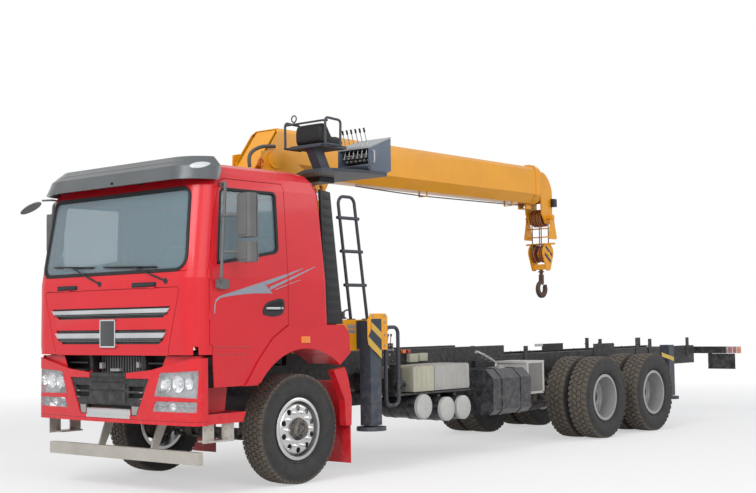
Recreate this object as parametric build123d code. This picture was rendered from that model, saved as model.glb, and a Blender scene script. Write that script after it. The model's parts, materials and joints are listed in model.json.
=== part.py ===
from build123d import *
import math
import os

# Truck-mounted crane on a three-axle chassis, in millimetres.
# Pieces are drawn with x forward from the front axle, y to the left and z up from the ground.
# They are written with the origin under the middle of the whole vehicle.

# Reach of the whole vehicle
NOSE_REACH = 1450
TAIL_REACH = 10150
ORIGIN_SHIFT = (TAIL_REACH - NOSE_REACH) / 2

# Clearances
MOVING_GAP = 6
SEAT_GAP = 0.3

# Wheels
TYRE_R = 542
TYRE_W = 295
RIM_SEAT_R = 286
RIM_FLANGE_R = 306
RIM_HALF_W = 105
FLANGE_T = 16
RIM_WALL = 14
HAND_HOLE_R = 30
HAND_HOLE_RING_R = 208
HAND_HOLES = 10
REAR_HOLE_R = 22
REAR_HOLE_RING_R = 203
FRONT_TRACK = 2040
REAR_TRACK = 1860
TWIN_SPACING = 340
REAR_AXLES_X = (-5800, -7150)
WHEEL_Z = TYRE_R
SPINDLE_R = 45
REAR_SPINDLE_R = 55
HUB_R = 112

# Steering
KINGPIN_Y = 880
KINGPIN_R = 28
KNUCKLE_HALF_H = 125
BEAM_END_HALF_H = 55
ARM_PIN_X = -180
ARM_PIN_Z = 440
TIE_ROD_R = 22
TIE_PIN_R = 14

# Ladder frame
RAIL_TOP = 1140
RAIL_DEPTH = 280
RAIL_HALF = 430
RAIL_FLANGE = 80
RAIL_WALL = 12
RAIL_FRONT = 1000
RAIL_REAR = -10020
RAIL_BOTTOM = RAIL_TOP - RAIL_DEPTH
SUBFRAME_H = 120
SUBFRAME_W = 70
SUBFRAME_X = (-4600, -560)
CROSSMEMBER_H = 180
CROSSMEMBER_W = 90
CROSSMEMBERS_X = (880, -1750, -3250, -4700, -6475, -8600, -9900)
# Body brackets on the rails: x, width along x, top height
BODY_BRACKETS = [
    (-7135, 570, 1230), (-8130, 90, 1295), (-8530, 90, 1270), (-9780, 90, 1270), (-5100, 90, 1240),
]
BRACKET_HOLE_R = 9
BRACKET_HOLE_PITCH = 50
BRACKET_HOLE_Z = 1190

# Cab
CAB_WALL = 45
CAB_FLOOR = 1380
CAB_FLOOR_T = 40
CAB_ROOM_BEVEL = 115
CAB_HALF_W = 1240
CAB_PIVOT = (1330, 1080)
CAB_PIVOT_R = 25
DOOR_GAP = 6
DOOR_HINGE_X = 1257
DOOR_HINGE_Y = CAB_HALF_W
DOOR_PIN_R = 10
DOOR_SKIRT_T = 12
CORNER_LOW = 1305
GLASS_INSET = 16
GLASS_T = 8
LID_T = 26
LID_HINGE = (1436, 1931)
LID_PIN_R = 9
LID_PINS_Y = (600, 690)
ARCH_R = 790

# Bumper
BUMPER_HALF_W = CAB_HALF_W - DOOR_SKIRT_T - MOVING_GAP
BUMPER_WALL = 35
BUMPER_BOTTOM = 665
BUMPER_REAR_X = 1262

# Crane
SLEW_X = -1020
BASE_TOP = 1700
BOX_LOW = 1290
BOX_HIGH = 1610
BOX_HALF_L = 1085
BOX_WALL = 12
BOX_FRONT_X = -640
BOX_W = 280
BEAM_LENGTH = 2080
LEG_X_W = 172
LEG_Y_W = 150
JACK_R = 55
FOOT_R = 157
FOOT_T = 40
FRONT_FOOT_Z = 450
REAR_FOOT_Z = 400
REAR_LEG_X = -7944
REAR_LEG_Y = 1100
COLUMN_HALF = 235
COLUMN_PLATE = 20
BOOM_PIVOT = (-600, 3350)
BOOM_PIN_R = 45
BOOM_HALF = 208
BOOM_LOW = 3212
BOOM_DEPTH = 503
BOOM_HIGH = BOOM_LOW + BOOM_DEPTH
BOOM_WALL = 9
BOOM_TIP = -5880
SECTION_STEP = 15
LUFF_FOOT = (-1220, 1870)
LUFF_HEAD = (-1500, 3120)
LUFF_BARREL_R = 85
LUFF_ROD_R = 50
LUFF_PIN_R = 36
HEAD_AXLE = (-6195, 3030)
SHEAVE_R = 109
SHEAVE_RIM_R = 124
SHEAVE_HALF_W = 22
AXLE_R = 30
NOSE_L = 290
GUIDE_Y = 200
ROPE_R = 7
ROPE_REACH = SHEAVE_R + ROPE_R + 0.5
HOOK_Z = 2180


def block(x, y, z):
    """Box between two ends along each axis."""
    ends = (x, y, z)
    size = [abs(high - low) for low, high in ends]
    middle = [(low + high) / 2 for low, high in ends]
    return Pos(*middle) * Box(*size)


def side_face(points):
    """Straight-sided face drawn as (x, z)."""
    return make_face(Polyline(*[(x, 0, z) for x, z in points], close=True))


def side_prism(points, y_low, y_high):
    """Solid with an (x, z) outline between two widths."""
    return extrude(Pos(0, y_low, 0) * side_face(points), amount=y_high - y_low, dir=(0, 1, 0))


def front_prism(points, x_low, x_high):
    """Solid with a (y, z) outline between two stations."""
    face = make_face(Polyline(*[(x_low, y, z) for y, z in points], close=True))
    return extrude(face, amount=x_high - x_low, dir=(1, 0, 0))


def plan_prism(points, z_low, z_high):
    """Solid with an (x, y) outline between two heights."""
    face = make_face(Polyline(*[(x, y, z_low) for x, y in points], close=True))
    return extrude(face, amount=z_high - z_low, dir=(0, 0, 1))


def rod(start, end, radius):
    """Round bar between two points."""
    run = Vector(*end) - Vector(*start)
    return Solid.make_cylinder(radius, run.length, Plane(origin=start, z_dir=run))


def pin_y(x, z, radius, y_low, y_high):
    """Round bar across the vehicle."""
    return rod((x, y_low, z), (x, y_high, z), radius)


def tube_path(points, radius, bend):
    """Bent round tube."""
    path = FilletPolyline(*points, radius=bend)
    start = Plane(origin=path @ 0, z_dir=path % 0)
    return sweep(start * Circle(radius), path=path)


def turned(points):
    """Body of revolution about Y, its outline drawn as (y, radius)."""
    face = make_face(Polyline(*[(0, y, r) for y, r in points], close=True))
    return revolve(face, Axis.Y)


def arc_panel(r_in, r_out, from_deg, to_deg, y_low, y_high):
    """Curved panel about the front wheel's centre."""
    edges = [
        CenterArc((0, 0), r_in, from_deg, to_deg - from_deg),
        CenterArc((0, 0), r_out, from_deg, to_deg - from_deg),
    ]
    for angle in (from_deg, to_deg):
        turn = math.radians(angle)
        inner = (r_in * math.cos(turn), r_in * math.sin(turn))
        outer = (r_out * math.cos(turn), r_out * math.sin(turn))
        edges.append(Line(inner, outer))
    face = Pos(0, y_low, WHEEL_Z) * (Plane.XZ * make_face(edges))
    return extrude(face, amount=y_high - y_low, dir=(0, 1, 0))


def right(shape):
    """The same piece on the right side."""
    return mirror(shape, about=Plane.XZ)


def both(shape):
    """The piece on both sides."""
    return Part() + [shape, right(shape)]


def leaf_pack(centre_x, half_length, low_z, high_z, thickness, y_low, y_high, arch_up):
    """Leaf spring as a curved pack, thinner at its ends."""
    end_z = low_z if arch_up else high_z
    mid_z = high_z if arch_up else low_z
    tip = thickness / 3
    left = centre_x - half_length
    right_x = centre_x + half_length
    top = ThreePointArc((left, end_z + tip), (centre_x, mid_z + thickness / 2), (right_x, end_z + tip))
    low = ThreePointArc((left, end_z), (centre_x, mid_z - thickness / 2), (right_x, end_z))
    ends = [Line(top @ 0, low @ 0), Line(top @ 1, low @ 1)]
    face = Pos(0, y_low, 0) * (Plane.XZ * make_face([top, low] + ends))
    return extrude(face, amount=y_high - y_low, dir=(0, 1, 0))


# Chassis frame

def rail():
    top, low, out = RAIL_TOP, RAIL_BOTTOM, RAIL_HALF
    inner, web = RAIL_HALF - RAIL_FLANGE, RAIL_HALF - RAIL_WALL
    outline = [
        (out, low), (out, top), (inner, top), (inner, top - RAIL_WALL),
        (web, top - RAIL_WALL), (web, low + RAIL_WALL), (inner, low + RAIL_WALL), (inner, low),
    ]
    return front_prism(outline, RAIL_REAR, RAIL_FRONT)


def crossmember(x):
    low = RAIL_BOTTOM + (RAIL_DEPTH - CROSSMEMBER_H) / 2
    high = low + CROSSMEMBER_H
    wall = RAIL_WALL
    front = x + CROSSMEMBER_W
    outline = [
        (x, low), (front, low), (front, low + wall), (x + wall, low + wall),
        (x + wall, high - wall), (front, high - wall), (front, high), (x, high),
    ]
    reach = RAIL_HALF - RAIL_WALL
    return side_prism(outline, -reach, reach)


def cab_pivot_bracket():
    x, z = CAB_PIVOT
    outline = [
        (RAIL_FRONT - 200, RAIL_TOP), (RAIL_FRONT - 200, RAIL_BOTTOM),
        (x - 60, z - 130), (x + 35, z - 60), (x + 42, z + 30), (x - 20, z + 60),
    ]
    plate = side_prism(outline, RAIL_HALF, RAIL_HALF + 16)
    pin = pin_y(x, z, CAB_PIVOT_R, RAIL_HALF - 52, RAIL_HALF)
    return plate + pin


def chassis_frame():
    parts = [both(rail())]
    parts += [crossmember(x) for x in CROSSMEMBERS_X]
    parts.append(both(cab_pivot_bracket()))
    rear_x, front_x = SUBFRAME_X
    sub = block((rear_x, front_x), (RAIL_HALF - SUBFRAME_W, RAIL_HALF), (RAIL_TOP, RAIL_TOP + SUBFRAME_H))
    parts.append(both(sub))
    # Cab rest behind the engine
    rest_x = (-320, -240)
    rest_top = CAB_FLOOR - SEAT_GAP
    parts.append(both(block(rest_x, (RAIL_HALF - 70, RAIL_HALF), (RAIL_TOP, rest_top))))
    for x, width, top in BODY_BRACKETS:
        outline = [
            (x - width / 2, RAIL_TOP - 180), (x + width / 2, RAIL_TOP - 180),
            (x + width / 2, top), (x - width / 2, top),
        ]
        plate = side_prism(outline, RAIL_HALF, RAIL_HALF + RAIL_WALL)
        for hole_x in (x - BRACKET_HOLE_PITCH / 2, x + BRACKET_HOLE_PITCH / 2):
            plate -= pin_y(hole_x, BRACKET_HOLE_Z, BRACKET_HOLE_R, RAIL_HALF - 1, RAIL_HALF + RAIL_WALL + 1)
        parts.append(both(plate))
    return Part() + parts


# Engine and gearbox as one closed block

def engine():
    block_outline = [
        (720, 690), (760, 760), (760, 1300), (-330, 1330), (-380, 1250),
        (-420, 1090), (-1150, 1040), (-1200, 1000), (-1200, 760), (-420, 720), (-300, 610), (560, 600),
    ]
    body = side_prism(block_outline, -230, 230)
    sump = side_prism([(600, 640), (600, 1250), (-330, 1290), (-330, 660)], -330, 330)
    mount = block((-60, 80), (320, RAIL_HALF - RAIL_WALL), (930, 1000))
    return body + sump + both(mount)


# Front axle, knuckles, tie rod

def front_axle():
    half = KINGPIN_Y - 40
    beam_outline = [
        (-half, 490), (-560, 470), (-430, 400), (430, 400), (560, 470), (half, 490),
        (half, 590), (530, 580), (400, 510), (-400, 510), (-530, 580), (-half, 590),
    ]
    beam = front_prism(beam_outline, -50, 50)
    # I-section hollows
    hollow_outline = [(-390, 425), (390, 425), (390, 485), (-390, 485)]
    for x_low, x_high in ((-50, -15), (15, 50)):
        beam -= front_prism(hollow_outline, x_low, x_high)
    boss = rod((0, KINGPIN_Y, WHEEL_Z - BEAM_END_HALF_H), (0, KINGPIN_Y, WHEEL_Z + BEAM_END_HALF_H), 58)
    kingpin = rod((0, KINGPIN_Y, WHEEL_Z - 118), (0, KINGPIN_Y, WHEEL_Z + 118), KINGPIN_R)
    seat = block((-60, 60), (350, 440), (500, 612))
    spring = leaf_pack(0, 780, 640, 775, 60, 350, 440, False)
    near, far, top = (700, 770), (830, 760), RAIL_BOTTOM
    parts = [beam, both(boss + kingpin + seat + spring)]
    for side in (1, -1):
        outline = [(side * x, z) for x, z in (near, far, (840, top), (680, top))]
        parts.append(both(side_prism(outline, 350, RAIL_HALF)))
    return Part() + parts


def knuckle():
    """Left steering knuckle with its spindle and track-rod arm."""
    reach = KNUCKLE_HALF_H
    z = WHEEL_Z
    lug_gap = BEAM_END_HALF_H + 5
    upper = rod((0, KINGPIN_Y, z + lug_gap), (0, KINGPIN_Y, z + reach), 56)
    lower = rod((0, KINGPIN_Y, z - reach), (0, KINGPIN_Y, z - lug_gap), 56)
    inner_y, outer_y = KINGPIN_Y + 64, KINGPIN_Y + 92
    web = block((-56, 56), (inner_y, outer_y), (z - reach, z + reach))
    upper_tie = block((-45, 45), (KINGPIN_Y, outer_y), (z + lug_gap, z + reach))
    lower_tie = block((-45, 45), (KINGPIN_Y, outer_y), (z - reach, z - lug_gap))
    spindle = rod((0, inner_y, z), (0, KINGPIN_Y + 235, z), SPINDLE_R)
    arm_plan = [
        (-40, KINGPIN_Y - 30), (-40, KINGPIN_Y + 30),
        (ARM_PIN_X - 20, KINGPIN_Y + 20), (ARM_PIN_X - 20, KINGPIN_Y - 20),
    ]
    arm = plan_prism(arm_plan, ARM_PIN_Z - 10, ARM_PIN_Z + 15)
    arm_root = block((-56, -30), (KINGPIN_Y - 30, KINGPIN_Y + 30), (ARM_PIN_Z - 10, z - lug_gap))
    arm_pin = rod((ARM_PIN_X, KINGPIN_Y, ARM_PIN_Z - 60), (ARM_PIN_X, KINGPIN_Y, ARM_PIN_Z), TIE_PIN_R)
    body = Part() + [upper, lower, web, upper_tie, lower_tie, spindle, arm, arm_root, arm_pin]
    bore = rod((0, KINGPIN_Y, z - reach - 1), (0, KINGPIN_Y, z + reach + 1), KINGPIN_R + SEAT_GAP)
    return body - bore


def tie_rod():
    z = ARM_PIN_Z - 36
    bar = rod((ARM_PIN_X, -KINGPIN_Y + 30, z), (ARM_PIN_X, KINGPIN_Y - 30, z), TIE_ROD_R)
    eye = rod((ARM_PIN_X, KINGPIN_Y, z - 20), (ARM_PIN_X, KINGPIN_Y, z + 20), 34)
    hole = rod((ARM_PIN_X, KINGPIN_Y, z - 60), (ARM_PIN_X, KINGPIN_Y, z + 60), TIE_PIN_R + SEAT_GAP)
    return Part() + [bar, both(eye)] - both(hole)


# Rear axles, bogie springs and drive shafts

def drive_axle(x):
    end = REAR_TRACK / 2 + 70
    tube = pin_y(x, WHEEL_Z, 78, -560, 560)
    spindles = pin_y(x, WHEEL_Z, REAR_SPINDLE_R, -end, end)
    bowl = rod((x - 150, 0, WHEEL_Z), (x + 110, 0, WHEEL_Z), 210)
    nose_plane = Plane(origin=(x + 110, 0, WHEEL_Z + 30), z_dir=(1, 0, 0))
    nose = Solid.make_cone(160, 75, 220, nose_plane)
    pads = both(block((x - 70, x + 70), (475, 555), (WHEEL_Z + 60, WHEEL_Z + 108)))
    return Part() + [tube, spindles, bowl, nose, pads]


def rear_axles():
    front_x, rear_x = REAR_AXLES_X
    middle = (front_x + rear_x) / 2
    half = (front_x - rear_x) / 2 + 60
    spring = leaf_pack(middle, half, WHEEL_Z + 107, WHEEL_Z + 190, 110, 475, 555, True)
    bracket = side_prism(
        [(middle - 230, RAIL_TOP - 120), (middle + 230, RAIL_TOP - 120),
         (middle + 90, 560), (middle - 90, 560)], RAIL_HALF, RAIL_HALF + 45)
    cap = side_prism(
        [(middle - 120, WHEEL_Z + 60), (middle + 120, WHEEL_Z + 60),
         (middle + 120, WHEEL_Z + 140), (middle - 120, WHEEL_Z + 140)], RAIL_HALF + 45, 555)
    trunnion = pin_y(middle, 600, 60, RAIL_HALF, 555)
    beam = pin_y(middle, 600, 45, -RAIL_HALF, RAIL_HALF)
    parts = [drive_axle(x) for x in REAR_AXLES_X]
    parts += [both(spring + bracket + cap + trunnion), beam]
    # Propeller shafts through the centre bearing
    gearbox_end = (-1205, 0, 840)
    bearing = (-3205, 0, 825)
    nose_end = (front_x + 330, 0, WHEEL_Z + 30)
    parts.append(rod(gearbox_end, bearing, 52))
    parts.append(rod(bearing, nose_end, 52))
    parts.append(rod((front_x - 150, 0, WHEEL_Z), (rear_x + 330, 0, WHEEL_Z + 30), 48))
    hanger = block((-3215, -3195), (-120, 120), (770, RAIL_BOTTOM + 50))
    parts.append(hanger)
    return Part() + parts


# Wheels, drawn about Y with the outer face towards +y

# Half outline of a tyre: distance from its middle plane, radius
TYRE_SIDE = [
    (RIM_HALF_W - 1, RIM_SEAT_R + SEAT_GAP), (RIM_HALF_W - 1, RIM_FLANGE_R + 3), (138, 372),
    (TYRE_W / 2, 425), (140, 492), (112, TYRE_R - 5),
]


def tyre_ring(centre_y):
    far_side = [(-y, r) for y, r in reversed(TYRE_SIDE)]
    return Pos(0, centre_y, 0) * turned(TYRE_SIDE + [(0, TYRE_R)] + far_side)


def rim_barrel(centre_y):
    low, high = centre_y - RIM_HALF_W, centre_y + RIM_HALF_W
    outline = [
        (low - FLANGE_T, RIM_SEAT_R - RIM_WALL), (low - FLANGE_T, RIM_FLANGE_R), (low, RIM_FLANGE_R),
        (low, RIM_SEAT_R), (high, RIM_SEAT_R), (high, RIM_FLANGE_R),
        (high + FLANGE_T, RIM_FLANGE_R), (high + FLANGE_T, RIM_SEAT_R - RIM_WALL),
    ]
    return turned(outline)


def hand_holes(radius, ring_radius, y_low, y_high):
    holes = []
    for index in range(HAND_HOLES):
        turn = 2 * math.pi * index / HAND_HOLES
        holes.append(pin_y(ring_radius * math.cos(turn), ring_radius * math.sin(turn), radius, y_low, y_high))
    return Part() + holes


def front_rim():
    disc = turned([
        (20, RIM_SEAT_R - 4), (34, RIM_SEAT_R - 4), (62, 262), (104, 236), (112, 206), (112, 60),
        (98, 60), (98, 204), (92, 228), (52, 252), (20, 262),
    ])
    hub = turned([
        (-42, SPINDLE_R + SEAT_GAP), (-42, 185), (20, 195), (98, 150), (112, HUB_R), (165, HUB_R - 8),
        (180, HUB_R - 30), (180, 0), (150, 0), (150, SPINDLE_R + SEAT_GAP),
    ])
    return rim_barrel(0) + disc + hub - hand_holes(HAND_HOLE_R, HAND_HOLE_RING_R, 60, 130)


def rear_rim():
    offset = TWIN_SPACING / 2
    edge = offset - RIM_HALF_W
    discs = turned([
        (-edge - 20, RIM_SEAT_R - 2), (-edge - 20, 262), (-18, 228), (-18, 90), (18, 90),
        (18, 228), (edge + 20, 262), (edge + 20, RIM_SEAT_R - 2), (edge, RIM_SEAT_R - 2),
        (0, 250), (-edge, RIM_SEAT_R - 2),
    ])
    hub = turned([
        (-300, REAR_SPINDLE_R + SEAT_GAP), (-300, 215), (-60, 215), (-18, 190), (18, 150),
        (95, HUB_R), (120, HUB_R - 20), (120, 0), (90, 0), (90, REAR_SPINDLE_R + SEAT_GAP),
    ])
    rims = rim_barrel(-offset) + rim_barrel(offset) + discs + hub
    return rims - hand_holes(REAR_HOLE_R, REAR_HOLE_RING_R, -24, 60)


# Bumper, lamps, steps, guards

def bumper_plan(inset):
    """Plan outline of the wrapped front, inset from the outer skin."""
    side, nose = BUMPER_HALF_W - inset, NOSE_REACH - inset
    rear = BUMPER_REAR_X - inset
    corner_x, corner_y = nose - 45, side - 130
    left = Line((rear, side), (nose - 160, side))
    corner = ThreePointArc((nose - 160, side), (nose - 80, side - 38), (corner_x, corner_y))
    front = ThreePointArc((corner_x, corner_y), (nose, 0), (corner_x, -corner_y))
    other = ThreePointArc((corner_x, -corner_y), (nose - 80, -side + 38), (nose - 160, -side))
    right_side = Line((nose - 160, -side), (rear, -side))
    back = Line((rear, -side), (rear, side))
    return make_face([left, corner, front, other, right_side, back])


def bumper_slab(inset, low, high):
    return extrude(Pos(0, 0, low) * bumper_plan(inset), amount=high - low, dir=(0, 0, 1))


HEADLAMP = [(665, 925), (1190, 915), (1200, 1165), (745, 1140)]
LOWER_LAMP = [(645, 785), (1185, 785), (1190, 882), (690, 882)]
AIR_MOUTH = [(-430, 735), (430, 735), (600, 1085), (-600, 1085)]
CENTRE_HALF = 280
CENTRE_TOP = 1135
TREAD_HALF = 335
RECESS_TOP = 830


def shrunk(points, gap):
    """Outline moved inwards by a gap."""
    middle_y = sum(y for y, _ in points) / len(points)
    middle_z = sum(z for _, z in points) / len(points)
    moved = []
    for y, z in points:
        moved.append((y - math.copysign(gap, y - middle_y), z - math.copysign(gap, z - middle_z)))
    return moved


def bumper():
    top = 1275
    shell = bumper_slab(0, BUMPER_BOTTOM, top) - bumper_slab(BUMPER_WALL, BUMPER_BOTTOM - 1, top + 1)
    dip = [(-1160, top), (-620, 1165), (-280, 1135), (280, 1135), (620, 1165), (1160, top),
           (1160, 1400), (-1160, 1400)]
    shell -= front_prism(dip, 1000, 1600)
    for outline in (HEADLAMP, LOWER_LAMP):
        shell -= both(front_prism(outline, 1240, 1600))
    shell -= front_prism(AIR_MOUTH, 1240, 1600)
    # Gap for the centre plate over the grille
    shell -= block((1240, 1600), (-CENTRE_HALF - SEAT_GAP, CENTRE_HALF + SEAT_GAP), (1080, top))
    # Ledge inside the mouth with a tread strip, and shelves behind the upper edge
    ledge = bumper_slab(8, 700, 790) - bumper_slab(90, 699, 791)
    shell += ledge & block((1240, 1600), (-TREAD_HALF, TREAD_HALF), (700, 790))
    shelf = bumper_slab(20, 1108, 1132) & block((BUMPER_REAR_X + 30, 1600), (480, 640), (1108, 1132))
    shell += both(shelf)
    # Brackets to the rails
    arm_z = (RAIL_BOTTOM, RAIL_BOTTOM + 60)
    arm = block((RAIL_FRONT, 1400), (RAIL_HALF - RAIL_FLANGE, RAIL_HALF - 20), arm_z)
    pad_z = (BUMPER_BOTTOM + 5, RAIL_BOTTOM + 60)
    pad = block((1370, 1398), (RAIL_HALF - RAIL_FLANGE, RAIL_HALF + 60), pad_z)
    foot = block((1395, 1425), (RAIL_HALF - RAIL_FLANGE, RAIL_HALF + 60), (BUMPER_BOTTOM + 5, 730))
    return shell + both(arm + pad + foot)


VENTS_Z = [(900, 945), (965, 1010)]
PANEL_RIBS_Z = [(845, 955), (975, 1035), (1055, 1068), (1098, 1130)]


def bumper_grille():
    slab = bumper_slab(12, 725, 1200) - bumper_slab(BUMPER_WALL, 700, 1201)
    insert = slab & front_prism(shrunk(AIR_MOUTH, SEAT_GAP), 1240, 1600)
    insert -= block((1240, 1600), (-TREAD_HALF - 1, TREAD_HALF + 1), (700, RECESS_TOP))
    insert += slab & block((1240, 1600), (-CENTRE_HALF, CENTRE_HALF), (1000, CENTRE_TOP))
    # Vents, two on each side of the middle
    slots = []
    for side in (-1, 1):
        for low, high in VENTS_Z:
            outline = [(side * 300, low), (side * 500, low), (side * 525, high), (side * 300, high)]
            slots.append(front_prism(outline, 1240, 1600))
    insert -= Part() + slots
    # Raised panel with cross ribs in the middle
    raised = bumper_slab(2, 840, 1130) - bumper_slab(20, 839, 1131)
    for low, high in PANEL_RIBS_Z:
        insert += raised & block((1240, 1600), (-CENTRE_HALF + 12, CENTRE_HALF - 12), (low, high))
    return insert


def lamps():
    lens = bumper_slab(4, 700, 1250) - bumper_slab(BUMPER_WALL - 5, 690, 1260)
    head = lens & front_prism(shrunk(HEADLAMP, SEAT_GAP), 1240, 1600)
    low = lens & front_prism(shrunk(LOWER_LAMP, SEAT_GAP), 1240, 1600)
    tail = block((-TAIL_REACH, -TAIL_REACH + 70), (960, 1190), (1000, 1120))
    return Part() + [both(head), both(low), both(tail)]


def front_underrun():
    bar = block((1245, 1300), (-1130, 1130), (302, 420))
    bar = fillet(bar.edges().filter_by(Axis.X), 12)
    hanger_outline = [(1245, 420), (1245, 320), (1215, 320), (940, RAIL_BOTTOM), (1080, RAIL_BOTTOM)]
    hanger = side_prism(hanger_outline, 390, 410)
    # Folding steps under the step boxes
    hinge_outline = [(0, 672), (0, 520), (-60, 520), (-60, 672)]
    parts = [bar, both(hanger)]
    for x in (1215, 1035):
        outline = [(x + dx, z) for dx, z in hinge_outline]
        parts.append(both(side_prism(outline, 1150, 1165)))
    parts.append(both(block((960, 1225), (1040, 1200), (505, 520))))
    return Part() + parts


def step_box():
    front, rear_low, rear_high = BUMPER_REAR_X - SEAT_GAP, 830, 790
    floor_outline = [(front, 672), (rear_low, 672), (rear_high, 765), (front, 765)]
    sill = side_prism(floor_outline, 900, BUMPER_HALF_W)
    well = block((rear_low + 30, front - 30), (960, BUMPER_HALF_W - 22), (725, 790))
    back = side_prism([(front, 765), (rear_high, 765), (rear_high - 30, 985), (front, 985)], 900, 930)
    arm = block((930, 1000), (RAIL_HALF + 16, 900), (700, RAIL_BOTTOM + 60))
    return sill - well + back + arm


def front_mudguard():
    outer = [
        (-610, 535), (-690, 535), (-700, 800), (-650, 1010),
        (-600, 1130), (-430, 1100), (-480, 1010), (-590, 800),
    ]
    skin = side_prism(outer, 1140, CAB_HALF_W - 15)
    liner = arc_panel(655, 680, 138, 181, 850, 1140)
    flap = block((-705, -690), (830, 1200), (150, 560))
    arm = rod((-700, RAIL_HALF, 900), (-700, 860, 900), 22)
    bridge = block((-722, -556), (850, 880), (878, 922))
    return skin + liner + flap + arm + bridge


# Side equipment

def side_tanks():
    tank_outline = [
        (480, 460), (1090, 460), (1150, 520), (1150, 890), (1040, 1000), (480, 1000),
    ]
    tank = front_prism(tank_outline, -4120, -3320)
    parts = [tank]
    strap_outline = [
        (480, 452), (1094, 452), (1158, 516), (1158, 893), (1043, 1008), (480, 1008),
    ]
    for x in (-3520, -3920):
        band = front_prism(strap_outline, x - 25, x + 25) - front_prism(tank_outline, x - 30, x + 30)
        cradle = block((x - 25, x + 25), (RAIL_HALF, 480), (452, RAIL_TOP - 60))
        parts += [band, cradle]
    # Exhaust box on the right
    exhaust_outline = [
        (-500, 470), (-1060, 470), (-1140, 550), (-1140, 960), (-1060, 1040), (-500, 1040),
    ]
    parts.append(front_prism(exhaust_outline, -2150, -1330))
    parts.append(block((-1800, -1700), (-500, -RAIL_HALF), (900, 1000)))
    outlet = rod((-2150, -800, 620), (-2420, -800, 620), 60)
    parts.append(outlet)
    # Reagent tank behind it
    reagent = block((-3150, -2600), (-1120, -520), (560, 1010))
    reagent = fillet(reagent.edges().filter_by(Axis.Y), 50)
    parts.append(reagent)
    parts.append(block((-2920, -2820), (-520, -RAIL_HALF), (900, 980)))
    return Part() + parts


AIR_TANK_R = 135
AIR_TANKS = [(-2030, 640), (-2450, 590), (-2757, 590)]


def side_equipment():
    tray_low = AIR_TANKS[1][1] + AIR_TANK_R
    parts = []
    for x, z in AIR_TANKS:
        shell = Pos(x, 0, z) * turned([
            (560, 0), (560, AIR_TANK_R - 30), (580, AIR_TANK_R), (1110, AIR_TANK_R),
            (1135, AIR_TANK_R - 30), (1145, 0),
        ])
        parts.append(shell)
        top = z + AIR_TANK_R
        if top > tray_low + 1:
            parts.append(block((x - 30, x + 30), (RAIL_HALF, 1000), (top - 2, top + 110)))
    tray = block((-2990, -1930), (RAIL_HALF, 1080), (tray_low - 2 + 62, tray_low + 78))
    feet = [block((x - 25, x + 25), (RAIL_HALF, 1000), (tray_low - 2, tray_low + 70)) for x in (-2450, -2757)]
    parts += [tray] + feet
    # Battery covers with pressed ribs: rear x, front x
    cover_low = tray_low + 78
    for rear_x, front_x in ((-2420, -1940), (-2980, -2440)):
        cover = block((rear_x, front_x), (500, 1050), (cover_low, 1090))
        cover = fillet(cover.edges().filter_by(Axis.Z), 30)
        count = 4
        pitch = (front_x - rear_x) / (count + 1)
        for index in range(count):
            x = rear_x + pitch * (index + 1)
            cover += block((x - 22, x + 22), (1040, 1062), (cover_low + 20, 1070))
        parts.append(cover)
    # Air dryer with its round cartridge
    parts.append(rod((-1720, 900, 800), (-1720, 900, 1130), 85))
    parts.append(block((-1800, -1640), (RAIL_HALF, 985), (820, 900)))
    # Fuse and filter box behind the tank
    parts.append(block((-4600, -4200), (560, 1050), (650, 1070)))
    parts.append(block((-4440, -4360), (RAIL_HALF, 560), (900, 980)))
    return Part() + parts


def tail_bar():
    rear = -TAIL_REACH
    bar = block((rear + 10, rear + 60), (-960 + SEAT_GAP, 960 - SEAT_GAP), (1005, 1115))
    arm = block((rear + 60, RAIL_REAR), (RAIL_HALF - RAIL_FLANGE, RAIL_HALF), (1010, 1110))
    plate = block((rear + 20, rear + 35), (630, 1090), (755, 1000))
    recess = rod((rear + 19, 860, 880), (rear + 24, 860, 880), 70)
    stay = block((rear + 25, rear + 40), (640, 700), (990, 1010))
    return Part() + [bar, both(arm), plate - recess, stay]


# Crane base, outriggers, ladder

LEFT_CHANNEL_X = BOX_FRONT_X - BOX_W - 10
LEFT_LEG_X = LEFT_CHANNEL_X - BOX_W / 2
RIGHT_LEG_X = -870


def channel(front_x):
    """Outrigger box that one beam slides in."""
    rear_x = front_x - BOX_W
    outer = block((rear_x, front_x), (-BOX_HALF_L, BOX_HALF_L), (BOX_LOW, BOX_HIGH))
    inner = block(
        (rear_x + BOX_WALL, front_x - BOX_WALL), (-BOX_HALF_L - 1, BOX_HALF_L + 1),
        (BOX_LOW + BOX_WALL, BOX_HIGH - BOX_WALL))
    return outer - inner


def crane_base():
    rear_x = LEFT_CHANNEL_X - BOX_W
    spacer = block((rear_x, BOX_FRONT_X), (-RAIL_HALF, RAIL_HALF), (RAIL_TOP + SUBFRAME_H, BOX_LOW))
    joint_x = (LEFT_CHANNEL_X, BOX_FRONT_X - BOX_W)
    joint = block(joint_x, (-BOX_HALF_L, BOX_HALF_L), (BOX_LOW, BOX_HIGH))
    foot_plan = [
        Pos(SLEW_X, 0, BOX_HIGH) * Rectangle(640, 700),
        Pos(SLEW_X, 0, BASE_TOP) * Rectangle(560, 560),
    ]
    pedestal = loft(foot_plan, ruled=True)
    pedestal &= block((rear_x, BOX_FRONT_X), (-400, 400), (BOX_HIGH, BASE_TOP))
    flange = rod((SLEW_X, 0, BASE_TOP), (SLEW_X, 0, BASE_TOP + 40), 290)
    spigot = rod((SLEW_X, 0, BASE_TOP + 40), (SLEW_X, 0, BASE_TOP + 75), 150)
    parts = [channel(BOX_FRONT_X), channel(LEFT_CHANNEL_X), joint, spacer, pedestal, flange, spigot]
    return Part() + parts


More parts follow.
